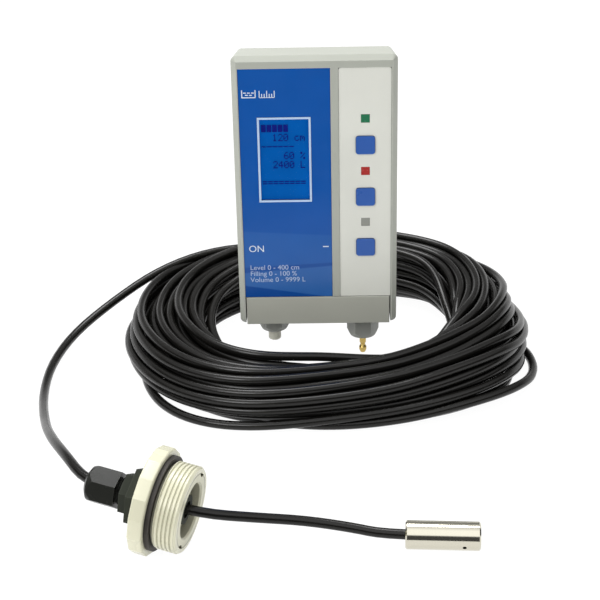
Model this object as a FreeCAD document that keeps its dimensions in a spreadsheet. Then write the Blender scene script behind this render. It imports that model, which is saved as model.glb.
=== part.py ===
"""Tank level gauge: wall indicator, tank screw fitting, steel probe and coiled air hose (millimetres)."""
import FreeCAD, Part
import math
import os
import re

import Sketcher
from FreeCAD import Placement, Rotation, Vector

doc = FreeCAD.newDocument("tank_level_gauge")
sizes = doc.addObject("Spreadsheet::Sheet", "sizes")

DRIVING_SIZES = {
    # Indicator: its datum is the middle of the front face at the lower edge
    "indicator_x": 19.5,
    "indicator_y": 78.5,
    "indicator_lift": 35.0,
    "housing_width": 100.0,
    "housing_height": 177.0,
    "housing_depth": 65.0,
    "hood_depth": 26.0,
    "hood_draft": 2.7,
    "hood_corner": 3.5,
    "hood_bevel": 3.3,
    "hood_wall": 2.4,
    "deck_thickness": 2.0,
    "rear_step": 0.8,
    "rear_wall": 2.4,
    "rear_corner": 3.0,
    "rear_fall": 12.5,
    # Front field: blue panel, bar and white panel above the terminal cover
    "bezel_width": 4.1,
    "bezel_top": 7.6,
    "field_bottom": 19.3,
    "key_panel_width": 31.8,
    "bar_width": 4.7,
    "panel_thickness": 1.0,
    "panel_recess": 0.4,
    "panel_gap": 0.15,
    "panel_corner": 1.5,
    "cover_gap": 0.6,
    "cover_depth": 12.0,
    "cover_wall": 2.0,
    "cover_edge": 0.6,
    "tray_gap": 0.3,
    # Display
    "screen_inset": 10.9,
    "screen_drop": 30.5,
    "screen_width": 32.3,
    "screen_height": 54.8,
    "screen_border": 1.2,
    "screen_proud": 0.25,
    "screen_gap": 0.1,
    "glass_recess": 0.1,
    "module_margin": 4.0,
    # Keys and signal lamps
    "key_inset": 15.7,
    "key_drop": 48.8,
    "key_rise": 33.8,
    "key_width": 11.4,
    "key_corner": 1.5,
    "key_proud": 0.9,
    "key_gap": 0.25,
    "key_collar": 1.0,
    "collar_gap": 0.3,
    "collar_thickness": 1.2,
    "stem_diameter": 3.4,
    "stem_clearance": 0.05,
    "stem_entry": 2.0,
    "switch_width": 10.0,
    "switch_thickness": 7.0,
    "switch_floor": 1.5,
    "lamp_width": 5.15,
    "lamp_gap": 0.15,
    # Circuit board and what it carries
    "board_depth": 16.0,
    "board_thickness": 1.6,
    "board_side_gap": 15.0,
    "board_end_gap": 6.0,
    "post_diameter": 6.5,
    "board_post_inset": 5.5,
    "pilot_diameter": 2.2,
    "pilot_depth": 8.0,
    "screw_clearance": 0.1,
    "board_screw_head": 4.6,
    "board_screw_rise": 1.7,
    "board_screw_length": 6.5,
    "sensor_inset": 13.0,
    "sensor_width": 14.0,
    "sensor_height": 10.0,
    "sensor_thickness": 6.0,
    # Screws that join hood and rear housing, driven from the back
    "joint_side_inset": 10.5,
    "joint_end_inset": 10.0,
    "joint_roof_gap": 4.6,
    "joint_post_diameter": 8.0,
    "joint_web": 3.0,
    "joint_head": 5.4,
    "joint_head_rise": 2.4,
    "joint_well": 6.0,
    "joint_shank": 2.9,
    "joint_length": 12.0,
    "joint_hole": 3.2,
    # Wall fixing in the rear housing
    "wall_hole_inset": 12.0,
    "wall_hole_z": 12.0,
    "wall_hole_diameter": 4.5,
    "hanger_drop": 31.0,
    "hanger_hole_diameter": 9.0,
    "hanger_slot_width": 4.5,
    "hanger_slot_rise": 9.0,
    # Inner units
    "transformer_side_gap": 3.0,
    "transformer_drop": 49.0,
    "transformer_width": 38.0,
    "transformer_height": 44.0,
    "transformer_thickness": 33.0,
    "core_overhang": 5.0,
    "pump_z": 70.0,
    "pump_width": 24.0,
    "pump_depth": 27.2,
    "pump_height": 22.0,
    "motor_diameter": 20.0,
    "motor_length": 28.0,
    "port_diameter": 4.0,
    "port_length": 6.0,
    "terminal_width": 26.0,
    "terminal_height": 13.0,
    "terminal_thickness": 12.0,
    "terminal_y": 15.0,
    "terminal_ways": 5.0,
    "terminal_hole": 3.2,
    "terminal_hole_depth": 4.0,
    # Glands under the indicator
    "gland_inset": 21.0,
    "gland_y": 28.0,
    "gland_thread": 15.8,
    "gland_clearance": 0.2,
    "gland_inner_rise": 9.0,
    "gland_collar": 4.0,
    "gland_collar_flats": 18.0,
    "gland_neck": 8.0,
    "gland_neck_diameter": 13.6,
    "gland_bore": 9.0,
    "gland_nut_flats": 18.0,
    "gland_nut_length": 13.0,
    "gland_nut_dome": 5.0,
    "gland_nut_end": 11.0,
    "gland_nut_shoulder": 20.2,
    "gland_nut_wall": 4.0,
    "left_nut_drop": 17.2,
    "right_nut_drop": 22.8,
    "locknut_flats": 20.0,
    "locknut_thickness": 4.5,
    "plug_diameter": 8.3,
    "plug_drop": 24.2,
    "plug_edge": 1.2,
    "nipple_barrel": 4.2,
    "nipple_waist": 3.2,
    "nipple_barb": 4.8,
    "nipple_tip": 3.4,
    "nipple_bore": 1.8,
    "nipple_flange": 7.0,
    "nipple_rise": 9.5,
    "inner_hose_diameter": 4.6,
    # Tank screw fitting: its datum is the middle of the flange's sealing face
    "fitting_x": -63.8,
    "fitting_y": -115.7,
    "fitting_turn": -16.5,
    "fitting_dip": 8.0,
    "flange_flats": 58.0,
    "flange_thickness": 8.0,
    "flange_edge": 0.9,
    "thread_diameter": 47.8,
    "thread_length": 16.8,
    "thread_chamfer": 1.2,
    "undercut_diameter": 44.6,
    "undercut_length": 3.6,
    "seal_diameter": 52.0,
    "seal_thickness": 2.6,
    "seal_clearance": 0.1,
    "web_thickness": 4.0,
    "insert_diameter": 41.0,
    "insert_clearance": 0.1,
    "insert_bore": 30.0,
    "insert_step_bore": 27.4,
    "insert_step_depth": 6.0,
    "insert_chamfer": 1.0,
    "notch_diameter": 9.0,
    "notch_bite": 1.9,
    "notch_depth": 3.0,
    # Hose gland in the tank fitting
    "hose_gland_thread": 16.0,
    "hose_gland_clearance": 0.15,
    "hose_gland_flats": 29.0,
    "hose_gland_flange": 7.5,
    "hose_gland_hex_flats": 20.5,
    "hose_gland_hex": 5.3,
    "hose_gland_neck_diameter": 14.0,
    "hose_gland_neck": 13.0,
    "hose_gland_bore": 9.6,
    "hose_gland_tail": 18.5,
    "hose_locknut_flats": 22.0,
    "hose_locknut_thickness": 5.0,
    "dome_flats": 18.9,
    "dome_length": 18.2,
    "dome_round": 5.0,
    "dome_end": 12.8,
    "dome_gap": 3.2,
    "dome_shoulder": 21.2,
    "dome_wall": 5.8,
    "dome_mouth": 10.4,
    "dome_bore_clearance": 0.2,
    "grip_clearance": 0.1,
    # Hose and steel probe
    "hose_diameter": 5.8,
    "probe_x": 65.5,
    "probe_y": -117.5,
    "probe_turn": -3.3,
    "probe_diameter": 15.6,
    "probe_length": 40.0,
    "probe_edge": 0.8,
    "probe_socket": 12.0,
    "probe_socket_clearance": 0.1,
    "probe_chamber": 10.0,
    "probe_web": 3.0,
    "probe_cap_thickness": 3.0,
    "probe_cap_clearance": 0.05,
    "probe_hole": 2.2,
    "probe_hole_inset": 8.6,
    "probe_hole_turn": 110.0,
    # Coil of the spare hose
    "coil_x": 24.6,
    "coil_y": 110.5,
    "coil_length": 274.4,
    "coil_breadth": 237.2,
    "coil_height": 42.0,
    "coil_side_band": 58.0,
    "coil_front_band": 44.0,
}

for row, (alias, size) in enumerate(DRIVING_SIZES.items(), start=1):
    sizes.set(f"A{row}", alias)
    sizes.set(f"B{row}", str(size))
    sizes.setAlias(f"B{row}", alias)
doc.recompute()

nodes = []
SLACK = 0.01


def number(text):
    """Value of an expression over the sheet's sizes."""
    return float(sizes.evalExpression(text))


def bind(thing, prop, text):
    """Tie a property to an expression over the sheet's sizes."""
    thing.setExpression(prop, re.sub(r"\b[a-z]\w*\b(?!\()", r"sizes.\g<0>", text))


def place(thing, x, y, z, turn=None, dip=None):
    """Tie a piece's position to the sheet, and its turn about the vertical and its dip where it has them."""
    if dip is not None:
        bind(thing, "Placement", f"placement(vector({x}; {y}; {z}); rotation({turn}; {dip}; 0))")
        return
    for axis, text in zip("xyz", (x, y, z)):
        bind(thing, f"Placement.Base.{axis}", text)
    if turn is not None:
        bind(thing, "Placement.Rotation.Angle", turn)


def new_body(label, x, y, z, turn=None, dip=None):
    """Body of one sub-part, placed in the shared frame and kept for the export."""
    body = doc.addObject("PartDesign::Body", label)
    place(body, x, y, z, turn, dip)
    nodes.append(body)
    return body


def sketch_on(body, plane, offset="0"):
    """Sketch on one of the body's own origin planes, moved along the plane's normal."""
    sketch = body.newObject("Sketcher::SketchObject", f"{body.Label}_sketch")
    support = next(item for item in body.Origin.OriginFeatures if item.Role == f"{plane}_Plane")
    sketch.AttachmentSupport = [(support, "")]
    sketch.MapMode = "FlatFace"
    bind(sketch, "AttachmentOffset.Base.z", offset)
    return sketch


def tie_point(sketch, edge, point, x, y):
    """Hold one point of an edge at a pair of size expressions."""
    for kind, text in (("DistanceX", x), ("DistanceY", y)):
        index = sketch.addConstraint(Sketcher.Constraint(kind, -1, 1, edge, point, number(text)))
        bind(sketch, f"Constraints[{index}]", text)


def loop(sketch, corners):
    """Closed loop of straight edges through corners given as pairs of expressions."""
    places = [Vector(number(x), number(y), 0) for x, y in corners]
    first = sketch.GeometryCount
    count = len(places)
    for start, end in zip(places, places[1:] + places[:1]):
        sketch.addGeometry(Part.LineSegment(start, end), False)
    for index, (x, y) in enumerate(corners):
        before = first + (index - 1) % count
        sketch.addConstraint(Sketcher.Constraint("Coincident", before, 2, first + index, 1))
        tie_point(sketch, first + index, 1, x, y)


def rectangle(sketch, left, right, low, high):
    """Rectangle between two pairs of expressions."""
    loop(sketch, [(left, low), (right, low), (right, high), (left, high)])


def square(sketch, x, y, width):
    """Square about a centre."""
    rectangle(sketch, f"{x} - ({width}) / 2", f"{x} + ({width}) / 2",
              f"{y} - ({width}) / 2", f"{y} + ({width}) / 2")


def circle(sketch, x, y, diameter):
    """Circle about a centre."""
    centre = Vector(number(x), number(y), 0)
    edge = sketch.addGeometry(Part.Circle(centre, Vector(0, 0, 1), number(diameter) / 2), False)
    tie_point(sketch, edge, 3, x, y)
    index = sketch.addConstraint(Sketcher.Constraint("Diameter", edge, number(diameter)))
    bind(sketch, f"Constraints[{index}]", diameter)


def polygon(sketch, flats, sides, turn=0):
    """Regular polygon sized across its flats, with a flat at the bottom until it is turned by degrees."""
    corners = []
    for index in range(sides):
        angle = 2 * math.pi * (index + 0.5) / sides - math.pi / 2 + math.radians(turn)
        reach = 0.5 / math.cos(math.pi / sides)
        corners.append((f"({flats}) * {reach * math.cos(angle):.9f}",
                        f"({flats}) * {reach * math.sin(angle):.9f}"))
    loop(sketch, corners)


def ellipse(sketch, length, breadth):
    """Ellipse about the sketch's origin, longer along its first axis."""
    edge = sketch.addGeometry(
        Part.Ellipse(Vector(0, 0, 0), number(length) / 2, number(breadth) / 2), False)
    sketch.exposeInternalGeometry(edge)
    sketch.addConstraint(Sketcher.Constraint("Coincident", edge, 3, -1, 1))
    sketch.addConstraint(Sketcher.Constraint("Horizontal", edge + 1))
    for axis, text in ((edge + 1, length), (edge + 2, breadth)):
        index = sketch.addConstraint(Sketcher.Constraint("Distance", axis, number(text)))
        bind(sketch, f"Constraints[{index}]", text)


def pad(body, sketch, length, reverse=False):
    """Raise a sketch along its normal, or against it."""
    feature = body.newObject("PartDesign::Pad", f"{body.Label}_pad")
    feature.Profile = sketch
    bind(feature, "Length", length)
    feature.Reversed = reverse
    doc.recompute()
    return feature


def checked_cut(feature):
    """Recompute a cut and make sure that it took material away."""
    doc.recompute()
    if feature.Shape.Volume > feature.BaseFeature.Shape.Volume - SLACK:
        raise ValueError(f"{feature.Label} cuts nothing")
    return feature


def pocket(body, sketch, length, reverse=False):
    """Cut a sketch against its normal, or along it."""
    feature = body.newObject("PartDesign::Pocket", f"{body.Label}_pocket")
    feature.Profile = sketch
    bind(feature, "Length", length)
    feature.Reversed = reverse
    return checked_cut(feature)


def turned(body, corners, plane, axis, cut=False):
    """Turned form, or turned cut, of a profile about one axis of its sketch."""
    sketch = sketch_on(body, plane)
    loop(sketch, corners)
    kind = "Groove" if cut else "Revolution"
    feature = body.newObject(f"PartDesign::{kind}", f"{body.Label}_{kind.lower()}")
    feature.Profile = sketch
    feature.ReferenceAxis = (sketch, [axis])
    feature.Angle = 360
    if cut:
        return checked_cut(feature)
    doc.recompute()
    return feature


def upright(body, corners, cut=False):
    """Turned form about the vertical: corners are radius and height."""
    return turned(body, corners, "XZ", "V_Axis", cut)


def lying(body, corners, cut=False):
    """Turned form about the piece's own long axis: corners are distance along it and radius."""
    return turned(body, corners, "XY", "H_Axis", cut)


def dressed(body, kind, size, test):
    """Fillet or chamfer on the edges of the body's tip that pass a test."""
    base = body.Tip
    names = [f"Edge{index}" for index, edge in enumerate(base.Shape.Edges, start=1) if test(edge)]
    feature = body.newObject(f"PartDesign::{kind}", f"{body.Label}_{kind.lower()}")
    feature.Base = (base, names)
    bind(feature, "Radius" if kind == "Fillet" else "Size", size)
    doc.recompute()
    return feature


def box(label, x, y, z, width, depth, height):
    """Block with its lower front left corner at a place."""
    block = doc.addObject("Part::Box", label)
    for prop, text in (("Length", width), ("Width", depth), ("Height", height)):
        bind(block, prop, text)
    place(block, x, y, z)
    return block


ABOUT_X_TO_BACK = Rotation(Vector(1, 0, 0), -90)


def rod(label, x, y, z, diameter, length, rotation=Rotation()):
    """Round bar that starts at a place and runs up, or along the rotated axis."""
    bar = doc.addObject("Part::Cylinder", label)
    bind(bar, "Radius", f"({diameter}) / 2")
    bind(bar, "Height", length)
    bar.Placement = Placement(Vector(), rotation)
    place(bar, x, y, z)
    return bar


def fused(label, *pieces):
    """One solid made of touching or crossing blocks."""
    union = doc.addObject("Part::MultiFuse", label)
    union.Shapes = list(pieces)
    return union


def less(label, base, *tools):
    """Base with the tools cut away."""
    cut = doc.addObject("Part::Cut", label)
    cut.Base = base
    cut.Tool = tools[0] if len(tools) == 1 else fused(f"{label}_tools", *tools)
    return cut


def group(label, solids):
    """Like pieces kept as separate solids of one node."""
    compound = doc.addObject("Part::Compound", label)
    compound.Links = solids
    nodes.append(compound)
    return compound


def in_indicator(label):
    """Body whose origin is the indicator's datum."""
    return new_body(label, "indicator_x", "indicator_y", "indicator_lift")


def from_datum(x="0", y="0", z="0"):
    """Place given from the indicator's datum, as expressions in the shared frame."""
    return f"indicator_x + {x}", f"indicator_y + {y}", f"indicator_lift + {z}"


field_right = "(housing_width / 2 - bezel_width)"
field_left = f"-{field_right}"
field_top = "(housing_height - bezel_top)"
gland_x = "(housing_width / 2 - gland_inset)"
panel_back = "(panel_recess + panel_thickness)"
deck_back = f"({panel_back} + deck_thickness)"
board_face = "board_depth"
board_back = "(board_depth + board_thickness)"
bar_right = f"({field_right} - key_panel_width)"
bar_left = f"({bar_right} - bar_width)"
screen_x = f"({field_left} + screen_inset + screen_width / 2)"
screen_middle = f"({field_top} - screen_drop - screen_height / 2)"
glass_width = "(screen_width - 2 * screen_border)"
glass_height = "(screen_height - 2 * screen_border)"
key_x = f"({field_right} - key_inset)"
key_pitch = f"(({field_top} - key_drop - field_bottom - key_rise) / 2)"
key_heights = [f"({field_top} - key_drop - {index} * {key_pitch})" for index in range(3)]
lamp_heights = [f"({height} + {key_pitch} / 2)" for height in key_heights]
rear_half = "(housing_width / 2 - hood_draft - rear_step)"
rear_top = "(housing_height - hood_draft - rear_step)"
rear_inside = "(housing_depth - rear_wall)"
joint_top = f"({rear_top} - rear_fall - joint_post_diameter / 2 - joint_roof_gap)"
joint_places = [(f"{side} * (housing_width / 2 - joint_side_inset)", height) for side in (-1, 1)
                for height in ("(field_bottom + joint_end_inset)", joint_top)]
board_right = "(housing_width / 2 - board_side_gap)"
board_bottom = "(field_bottom + board_end_gap)"
board_top = f"({field_top} - board_end_gap)"
board_places = [(f"{side} * ({board_right} - board_post_inset)", height) for side in (-1, 1)
                for height in (f"({board_bottom} + board_post_inset)", f"({board_top} - board_post_inset)")]


def screen_rectangle(sketch, width, height):
    """Rectangle about the middle of the display."""
    rectangle(sketch, f"{screen_x} - ({width}) / 2", f"{screen_x} + ({width}) / 2",
              f"{screen_middle} - ({height}) / 2", f"{screen_middle} + ({height}) / 2")


# Rear housing: moulded tray with a falling roof, a floor that carries the glands and posts for the screws
rear = in_indicator("rear_housing")
outline = sketch_on(rear, "XZ", "-hood_depth")
rectangle(outline, f"-{rear_half}", rear_half, "0", rear_top)
pad(rear, outline, "housing_depth - hood_depth", reverse=True)
roof = sketch_on(rear, "YZ", f"-{rear_half}")
loop(roof, [("hood_depth", rear_top), ("housing_depth", f"{rear_top} - rear_fall"),
            ("housing_depth", rear_top)])
pocket(rear, roof, f"2 * {rear_half}", reverse=True)
dressed(rear, "Fillet", "rear_corner",
        lambda edge: edge.BoundBox.YLength > number("housing_depth - hood_depth") - SLACK
        or edge.BoundBox.YMin > number("housing_depth") - SLACK)
inside_fall = f"(rear_fall * ({rear_inside} - hood_depth) / (housing_depth - hood_depth))"
hollow = sketch_on(rear, "YZ", f"rear_wall - {rear_half}")
loop(hollow, [("hood_depth", "rear_wall"), (rear_inside, "rear_wall"),
              (rear_inside, f"{rear_top} - rear_wall - {inside_fall}"),
              ("hood_depth", f"{rear_top} - rear_wall")])
pocket(rear, hollow, f"2 * ({rear_half} - rear_wall)", reverse=True)
tray = sketch_on(rear, "XY")
rectangle(tray, f"{field_left} + cover_gap", f"{field_right} - cover_gap",
          "cover_depth + tray_gap", "hood_depth + rear_wall")
pad(rear, tray, "rear_wall")
posts = sketch_on(rear, "XZ", f"-{rear_inside}")
for x, z in joint_places:
    circle(posts, x, z, "joint_post_diameter")
pad(rear, posts, f"{rear_inside} - hood_depth")
wells = sketch_on(rear, "XZ", "-housing_depth")
for x, z in joint_places:
    circle(wells, x, z, "joint_well")
pocket(rear, wells, "housing_depth - hood_depth - joint_web", reverse=True)
shank_holes = sketch_on(rear, "XZ", "-hood_depth")
for x, z in joint_places:
    circle(shank_holes, x, z, "joint_hole")
pocket(rear, shank_holes, "joint_web + rear_wall")
gland_holes = sketch_on(rear, "XY", "rear_wall")
for side in (-1, 1):
    circle(gland_holes, f"{side} * {gland_x}", "gland_y", "gland_thread + 2 * gland_clearance")
pocket(rear, gland_holes, "rear_wall")
hanger_z = "(housing_height - hanger_drop)"
wall_holes = sketch_on(rear, "XZ", f"-{rear_inside}")
wall_hole_x = "(housing_width / 2 - wall_hole_inset)"
for side in (-1, 1):
    circle(wall_holes, f"{side} * {wall_hole_x}", "wall_hole_z", "wall_hole_diameter")
circle(wall_holes, "0", hanger_z, "hanger_hole_diameter")
pocket(rear, wall_holes, "rear_wall")
hanger_slot = sketch_on(rear, "XZ", f"-{rear_inside}")
rectangle(hanger_slot, "-hanger_slot_width / 2", "hanger_slot_width / 2",
          hanger_z, f"{hanger_z} + hanger_slot_rise")
pocket(rear, hanger_slot, "rear_wall")
slot_end = sketch_on(rear, "XZ", f"-{rear_inside}")
circle(slot_end, "0", f"{hanger_z} + hanger_slot_rise", "hanger_slot_width")
pocket(rear, slot_end, "rear_wall")

# Front hood: bevelled, drafted shell with a bezel, the bar between the panels and a deck behind them
hood = in_indicator("front_hood")
hood_half = "(housing_width / 2 - hood_draft)"
plan = sketch_on(hood, "XY")
loop(plan, [("-housing_width / 2", "0"), ("housing_width / 2", "0"),
            (hood_half, "hood_depth"), (f"-{hood_half}", "hood_depth")])
pad(hood, plan, "housing_height")
top_slope = sketch_on(hood, "YZ", "-housing_width / 2")
loop(top_slope, [("0", "housing_height"), ("hood_depth", "housing_height - hood_draft"),
                 ("hood_depth", "housing_height")])
pocket(hood, top_slope, "housing_width", reverse=True)
dressed(hood, "Fillet", "hood_corner", lambda edge: edge.BoundBox.YLength > number("hood_depth") - SLACK)
dressed(hood, "Chamfer", "hood_bevel", lambda edge: edge.BoundBox.YMax < SLACK)
cover_opening = sketch_on(hood, "XZ")
rectangle(cover_opening, field_left, field_right, "-hood_wall", "field_bottom")
pocket(hood, cover_opening, "hood_depth")
recess = sketch_on(hood, "XZ")
rectangle(recess, field_left, bar_left, "field_bottom - hood_wall", field_top)
rectangle(recess, bar_right, field_right, "field_bottom - hood_wall", field_top)
pocket(hood, recess, panel_back)
cavity = sketch_on(hood, "XZ", f"-{deck_back}")
rectangle(cavity, f"hood_wall - {hood_half}", f"{hood_half} - hood_wall",
          "field_bottom + hood_wall", "housing_height - hood_draft - hood_wall")
pocket(hood, cavity, f"hood_depth - {deck_back}")
windows = sketch_on(hood, "XZ", f"-{panel_back}")
screen_rectangle(windows, glass_width, glass_height)
for height in key_heights:
    square(windows, key_x, height, "key_width + 2 * (key_collar + collar_gap)")
for height in lamp_heights:
    square(windows, key_x, height, "lamp_width + 2 * lamp_gap")
pocket(hood, windows, "deck_thickness")
board_posts = sketch_on(hood, "XZ", f"-{deck_back}")
for x, z in board_places:
    circle(board_posts, x, z, "post_diameter")
pad(hood, board_posts, f"{board_face} - {deck_back}", reverse=True)
joint_posts = sketch_on(hood, "XZ", f"-{deck_back}")
for x, z in joint_places:
    circle(joint_posts, x, z, "joint_post_diameter")
pad(hood, joint_posts, f"hood_depth - {deck_back}", reverse=True)
board_pilots = sketch_on(hood, "XZ", f"-{board_face}")
for x, z in board_places:
    circle(board_pilots, x, z, "pilot_diameter")
pocket(hood, board_pilots, "pilot_depth", reverse=True)
joint_pilots = sketch_on(hood, "XZ", "-hood_depth")
for x, z in joint_places:
    circle(joint_pilots, x, z, "joint_shank + 2 * screw_clearance")
pocket(hood, joint_pilots, "joint_length", reverse=True)

# Terminal cover: hollow cap that closes the wiring space under the panels
cover = in_indicator("terminal_cover")
face = sketch_on(cover, "XZ")
rectangle(face, f"{field_left} + cover_gap", f"{field_right} - cover_gap", "0", "field_bottom - tray_gap")
pad(cover, face, "cover_depth", reverse=True)
dressed(cover, "Fillet", "cover_edge", lambda edge: edge.BoundBox.YMax < SLACK)
inside = sketch_on(cover, "XZ", "-cover_wall")
rectangle(inside, f"{field_left} + cover_gap + cover_wall", f"{field_right} - cover_gap - cover_wall",
          "cover_wall", "field_bottom - tray_gap - cover_wall")
pocket(cover, inside, "cover_depth - cover_wall")

# Display panel: blue front sheet with the window for the display
blue = in_indicator("display_panel")
sheet_outline = sketch_on(blue, "XZ", "-panel_recess")
rectangle(sheet_outline, f"{field_left} + panel_gap", f"{bar_left} - panel_gap",
          "field_bottom", f"{field_top} - panel_gap")
pad(blue, sheet_outline, "panel_thickness", reverse=True)
window = sketch_on(blue, "XZ", "-panel_recess")
screen_rectangle(window, "screen_width + 2 * screen_gap", "screen_height + 2 * screen_gap")
pocket(blue, window, "panel_thickness")

# Key panel: white front sheet with openings for the keys and the lamps
white = in_indicator("key_panel")
sheet_outline = sketch_on(white, "XZ", "-panel_recess")
rectangle(sheet_outline, f"{bar_right} + panel_gap", f"{field_right} - panel_gap",
          "field_bottom", f"{field_top} - panel_gap")
pad(white, sheet_outline, "panel_thickness", reverse=True)
dressed(white, "Fillet", "panel_corner",
        lambda edge: edge.BoundBox.YLength > number("panel_thickness") - SLACK
        and edge.BoundBox.ZMin > number(field_top) - 1)
key_openings = sketch_on(white, "XZ", "-panel_recess")
for height in key_heights:
    square(key_openings, key_x, height, "key_width + 2 * key_gap")
pocket(white, key_openings, "panel_thickness")
dressed(white, "Fillet", "key_corner + key_gap",
        lambda edge: edge.BoundBox.YLength > number("panel_thickness") - SLACK
        and abs(edge.BoundBox.XMin - number(key_x)) < number("key_width"))
lamp_openings = sketch_on(white, "XZ", "-panel_recess")
for height in lamp_heights:
    square(lamp_openings, key_x, height, "lamp_width + 2 * lamp_gap")
pocket(white, lamp_openings, "panel_thickness")

# Display: raised white frame, clear pane and the module behind the deck
frame = in_indicator("screen_frame")
ring = sketch_on(frame, "XZ", "screen_proud - panel_recess")
screen_rectangle(ring, "screen_width", "screen_height")
screen_rectangle(ring, glass_width, glass_height)
pad(frame, ring, "panel_thickness + screen_proud", reverse=True)

pane = in_indicator("screen_glass")
pane_face = sketch_on(pane, "XZ", "-panel_recess - glass_recess")
screen_rectangle(pane_face, f"{glass_width} - 2 * screen_gap", f"{glass_height} - 2 * screen_gap")
pad(pane, pane_face, "panel_thickness + deck_thickness + tray_gap - glass_recess", reverse=True)

module = in_indicator("screen_module")
module_face = sketch_on(module, "XZ", f"-{deck_back} - tray_gap")
screen_rectangle(module_face, "screen_width + 2 * module_margin", "screen_height + 2 * module_margin")
pad(module, module_face, f"{board_face} - {deck_back} - tray_gap", reverse=True)

# Keys: square caps with a collar behind the panel and a stem that runs in its switch
collar_face = f"({panel_back} + collar_gap)"
switch_face = f"({board_face} - switch_thickness)"
for label, height in zip(("key_upper", "key_middle", "key_lower"), key_heights):
    key = in_indicator(label)
    cap = sketch_on(key, "XZ", "key_proud - panel_recess")
    square(cap, key_x, height, "key_width")
    pad(key, cap, f"{collar_face} + key_proud - panel_recess", reverse=True)
    dressed(key, "Fillet", "key_corner",
            lambda edge: edge.BoundBox.YLength > 1 and edge.BoundBox.XLength < SLACK)
    collar = sketch_on(key, "XZ", f"-{collar_face}")
    square(collar, key_x, height, "key_width + 2 * key_collar")
    pad(key, collar, "collar_thickness", reverse=True)
    stem = sketch_on(key, "XZ", f"-{collar_face}")
    circle(stem, key_x, height, "stem_diameter")
    pad(key, stem, f"{switch_face} + stem_entry - {collar_face}", reverse=True)

# Key switches: three push switches on the board, each bored for its key's stem
switches = []
for index, height in enumerate(key_heights):
    corner = from_datum(f"{key_x} - switch_width / 2", switch_face, f"{height} - switch_width / 2")
    case = box(f"switch_case_{index}", *corner, "switch_width", "switch_thickness", "switch_width")
    bore = rod(f"switch_bore_{index}", *from_datum(key_x, switch_face, height),
               "stem_diameter + 2 * stem_clearance", "switch_thickness - switch_floor", ABOUT_X_TO_BACK)
    switches.append(less(f"switch_{index}", case, bore))
group("key_switches", switches)

# Signal lamps: square light guides from the board to the panel's face
for label, height in zip(("lamp_green", "lamp_red", "lamp_grey"), lamp_heights):
    lamp = in_indicator(label)
    lens = sketch_on(lamp, "XZ", "-panel_recess")
    square(lens, key_x, height, "lamp_width")
    pad(lamp, lens, f"{board_face} - panel_recess", reverse=True)

# Circuit board on the hood's posts, with clearance holes for its screws
board = in_indicator("main_board")
board_outline = sketch_on(board, "XZ", f"-{board_face}")
rectangle(board_outline, f"-{board_right}", board_right, board_bottom, board_top)
pad(board, board_outline, "board_thickness", reverse=True)
holes = sketch_on(board, "XZ", f"-{board_face}")
for x, z in board_places:
    circle(holes, x, z, "pilot_diameter + 2 * screw_clearance")
pocket(board, holes, "board_thickness")


def screw_from_back(label, x, y, z, head, rise, shank, length):
    """Pan screw whose head rests on a face and whose shank points to the front."""
    top = rod(f"{label}_head", *from_datum(x, y, z), head, rise, ABOUT_X_TO_BACK)
    pin = rod(f"{label}_shank", *from_datum(x, f"{y} - {length}", z), shank, length, ABOUT_X_TO_BACK)
    return fused(label, top, pin)


group("board_screws", [
    screw_from_back(f"board_screw_{index}", x, board_back, z, "board_screw_head", "board_screw_rise",
                    "pilot_diameter - 2 * screw_clearance", "board_screw_length")
    for index, (x, z) in enumerate(board_places)])
group("housing_screws", [
    screw_from_back(f"housing_screw_{index}", x, "(hood_depth + joint_web)", z, "joint_head",
                    "joint_head_rise", "joint_shank", "joint_length")
    for index, (x, z) in enumerate(joint_places)])

# Pressure sensor on the back of the board
sensor_z = f"({board_bottom} + sensor_inset)"
sensor = box("sensor_case", *from_datum("-sensor_width / 2", board_back, sensor_z),
             "sensor_width", "sensor_thickness", "sensor_height")
sensor_port = rod("sensor_port", *from_datum("0", f"{board_back} + sensor_thickness",
                                             f"{sensor_z} + sensor_height / 2"),
                  "port_diameter", "port_length", ABOUT_X_TO_BACK)
nodes.append(fused("pressure_sensor", sensor, sensor_port))

# Mains transformer on the back wall: laminated core across a wound bobbin
transformer_left = f"(rear_wall + transformer_side_gap - {rear_half})"
transformer_front = f"({rear_inside} - transformer_thickness)"
transformer_bottom = "(housing_height - transformer_drop - transformer_height)"
core = box("transformer_core",
           *from_datum(transformer_left, transformer_front, f"{transformer_bottom} + core_overhang"),
           "transformer_width", "transformer_thickness", "transformer_height - 2 * core_overhang")
bobbin = box("transformer_bobbin",
             *from_datum(f"{transformer_left} + core_overhang", f"{transformer_front} + core_overhang",
                         transformer_bottom),
             "transformer_width - 2 * core_overhang", "transformer_thickness - 2 * core_overhang",
             "transformer_height")
nodes.append(fused("power_transformer", core, bobbin))

# Air pump on the back wall, with its motor on top and its port towards the hose nipple
pump_y = f"({rear_inside} - pump_depth / 2)"
pump_corner = from_datum(f"{gland_x} - pump_width / 2", f"{rear_inside} - pump_depth", "pump_z")
pump_case = box("pump_case", *pump_corner, "pump_width", "pump_depth", "pump_height")
motor = rod("pump_motor", *from_datum(gland_x, pump_y, "pump_z + pump_height"),
            "motor_diameter", "motor_length")
port = rod("pump_port", *from_datum(gland_x, pump_y, "pump_z - port_length"),
           "port_diameter", "port_length")
nodes.append(fused("air_pump", pump_case, motor, port))

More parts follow.
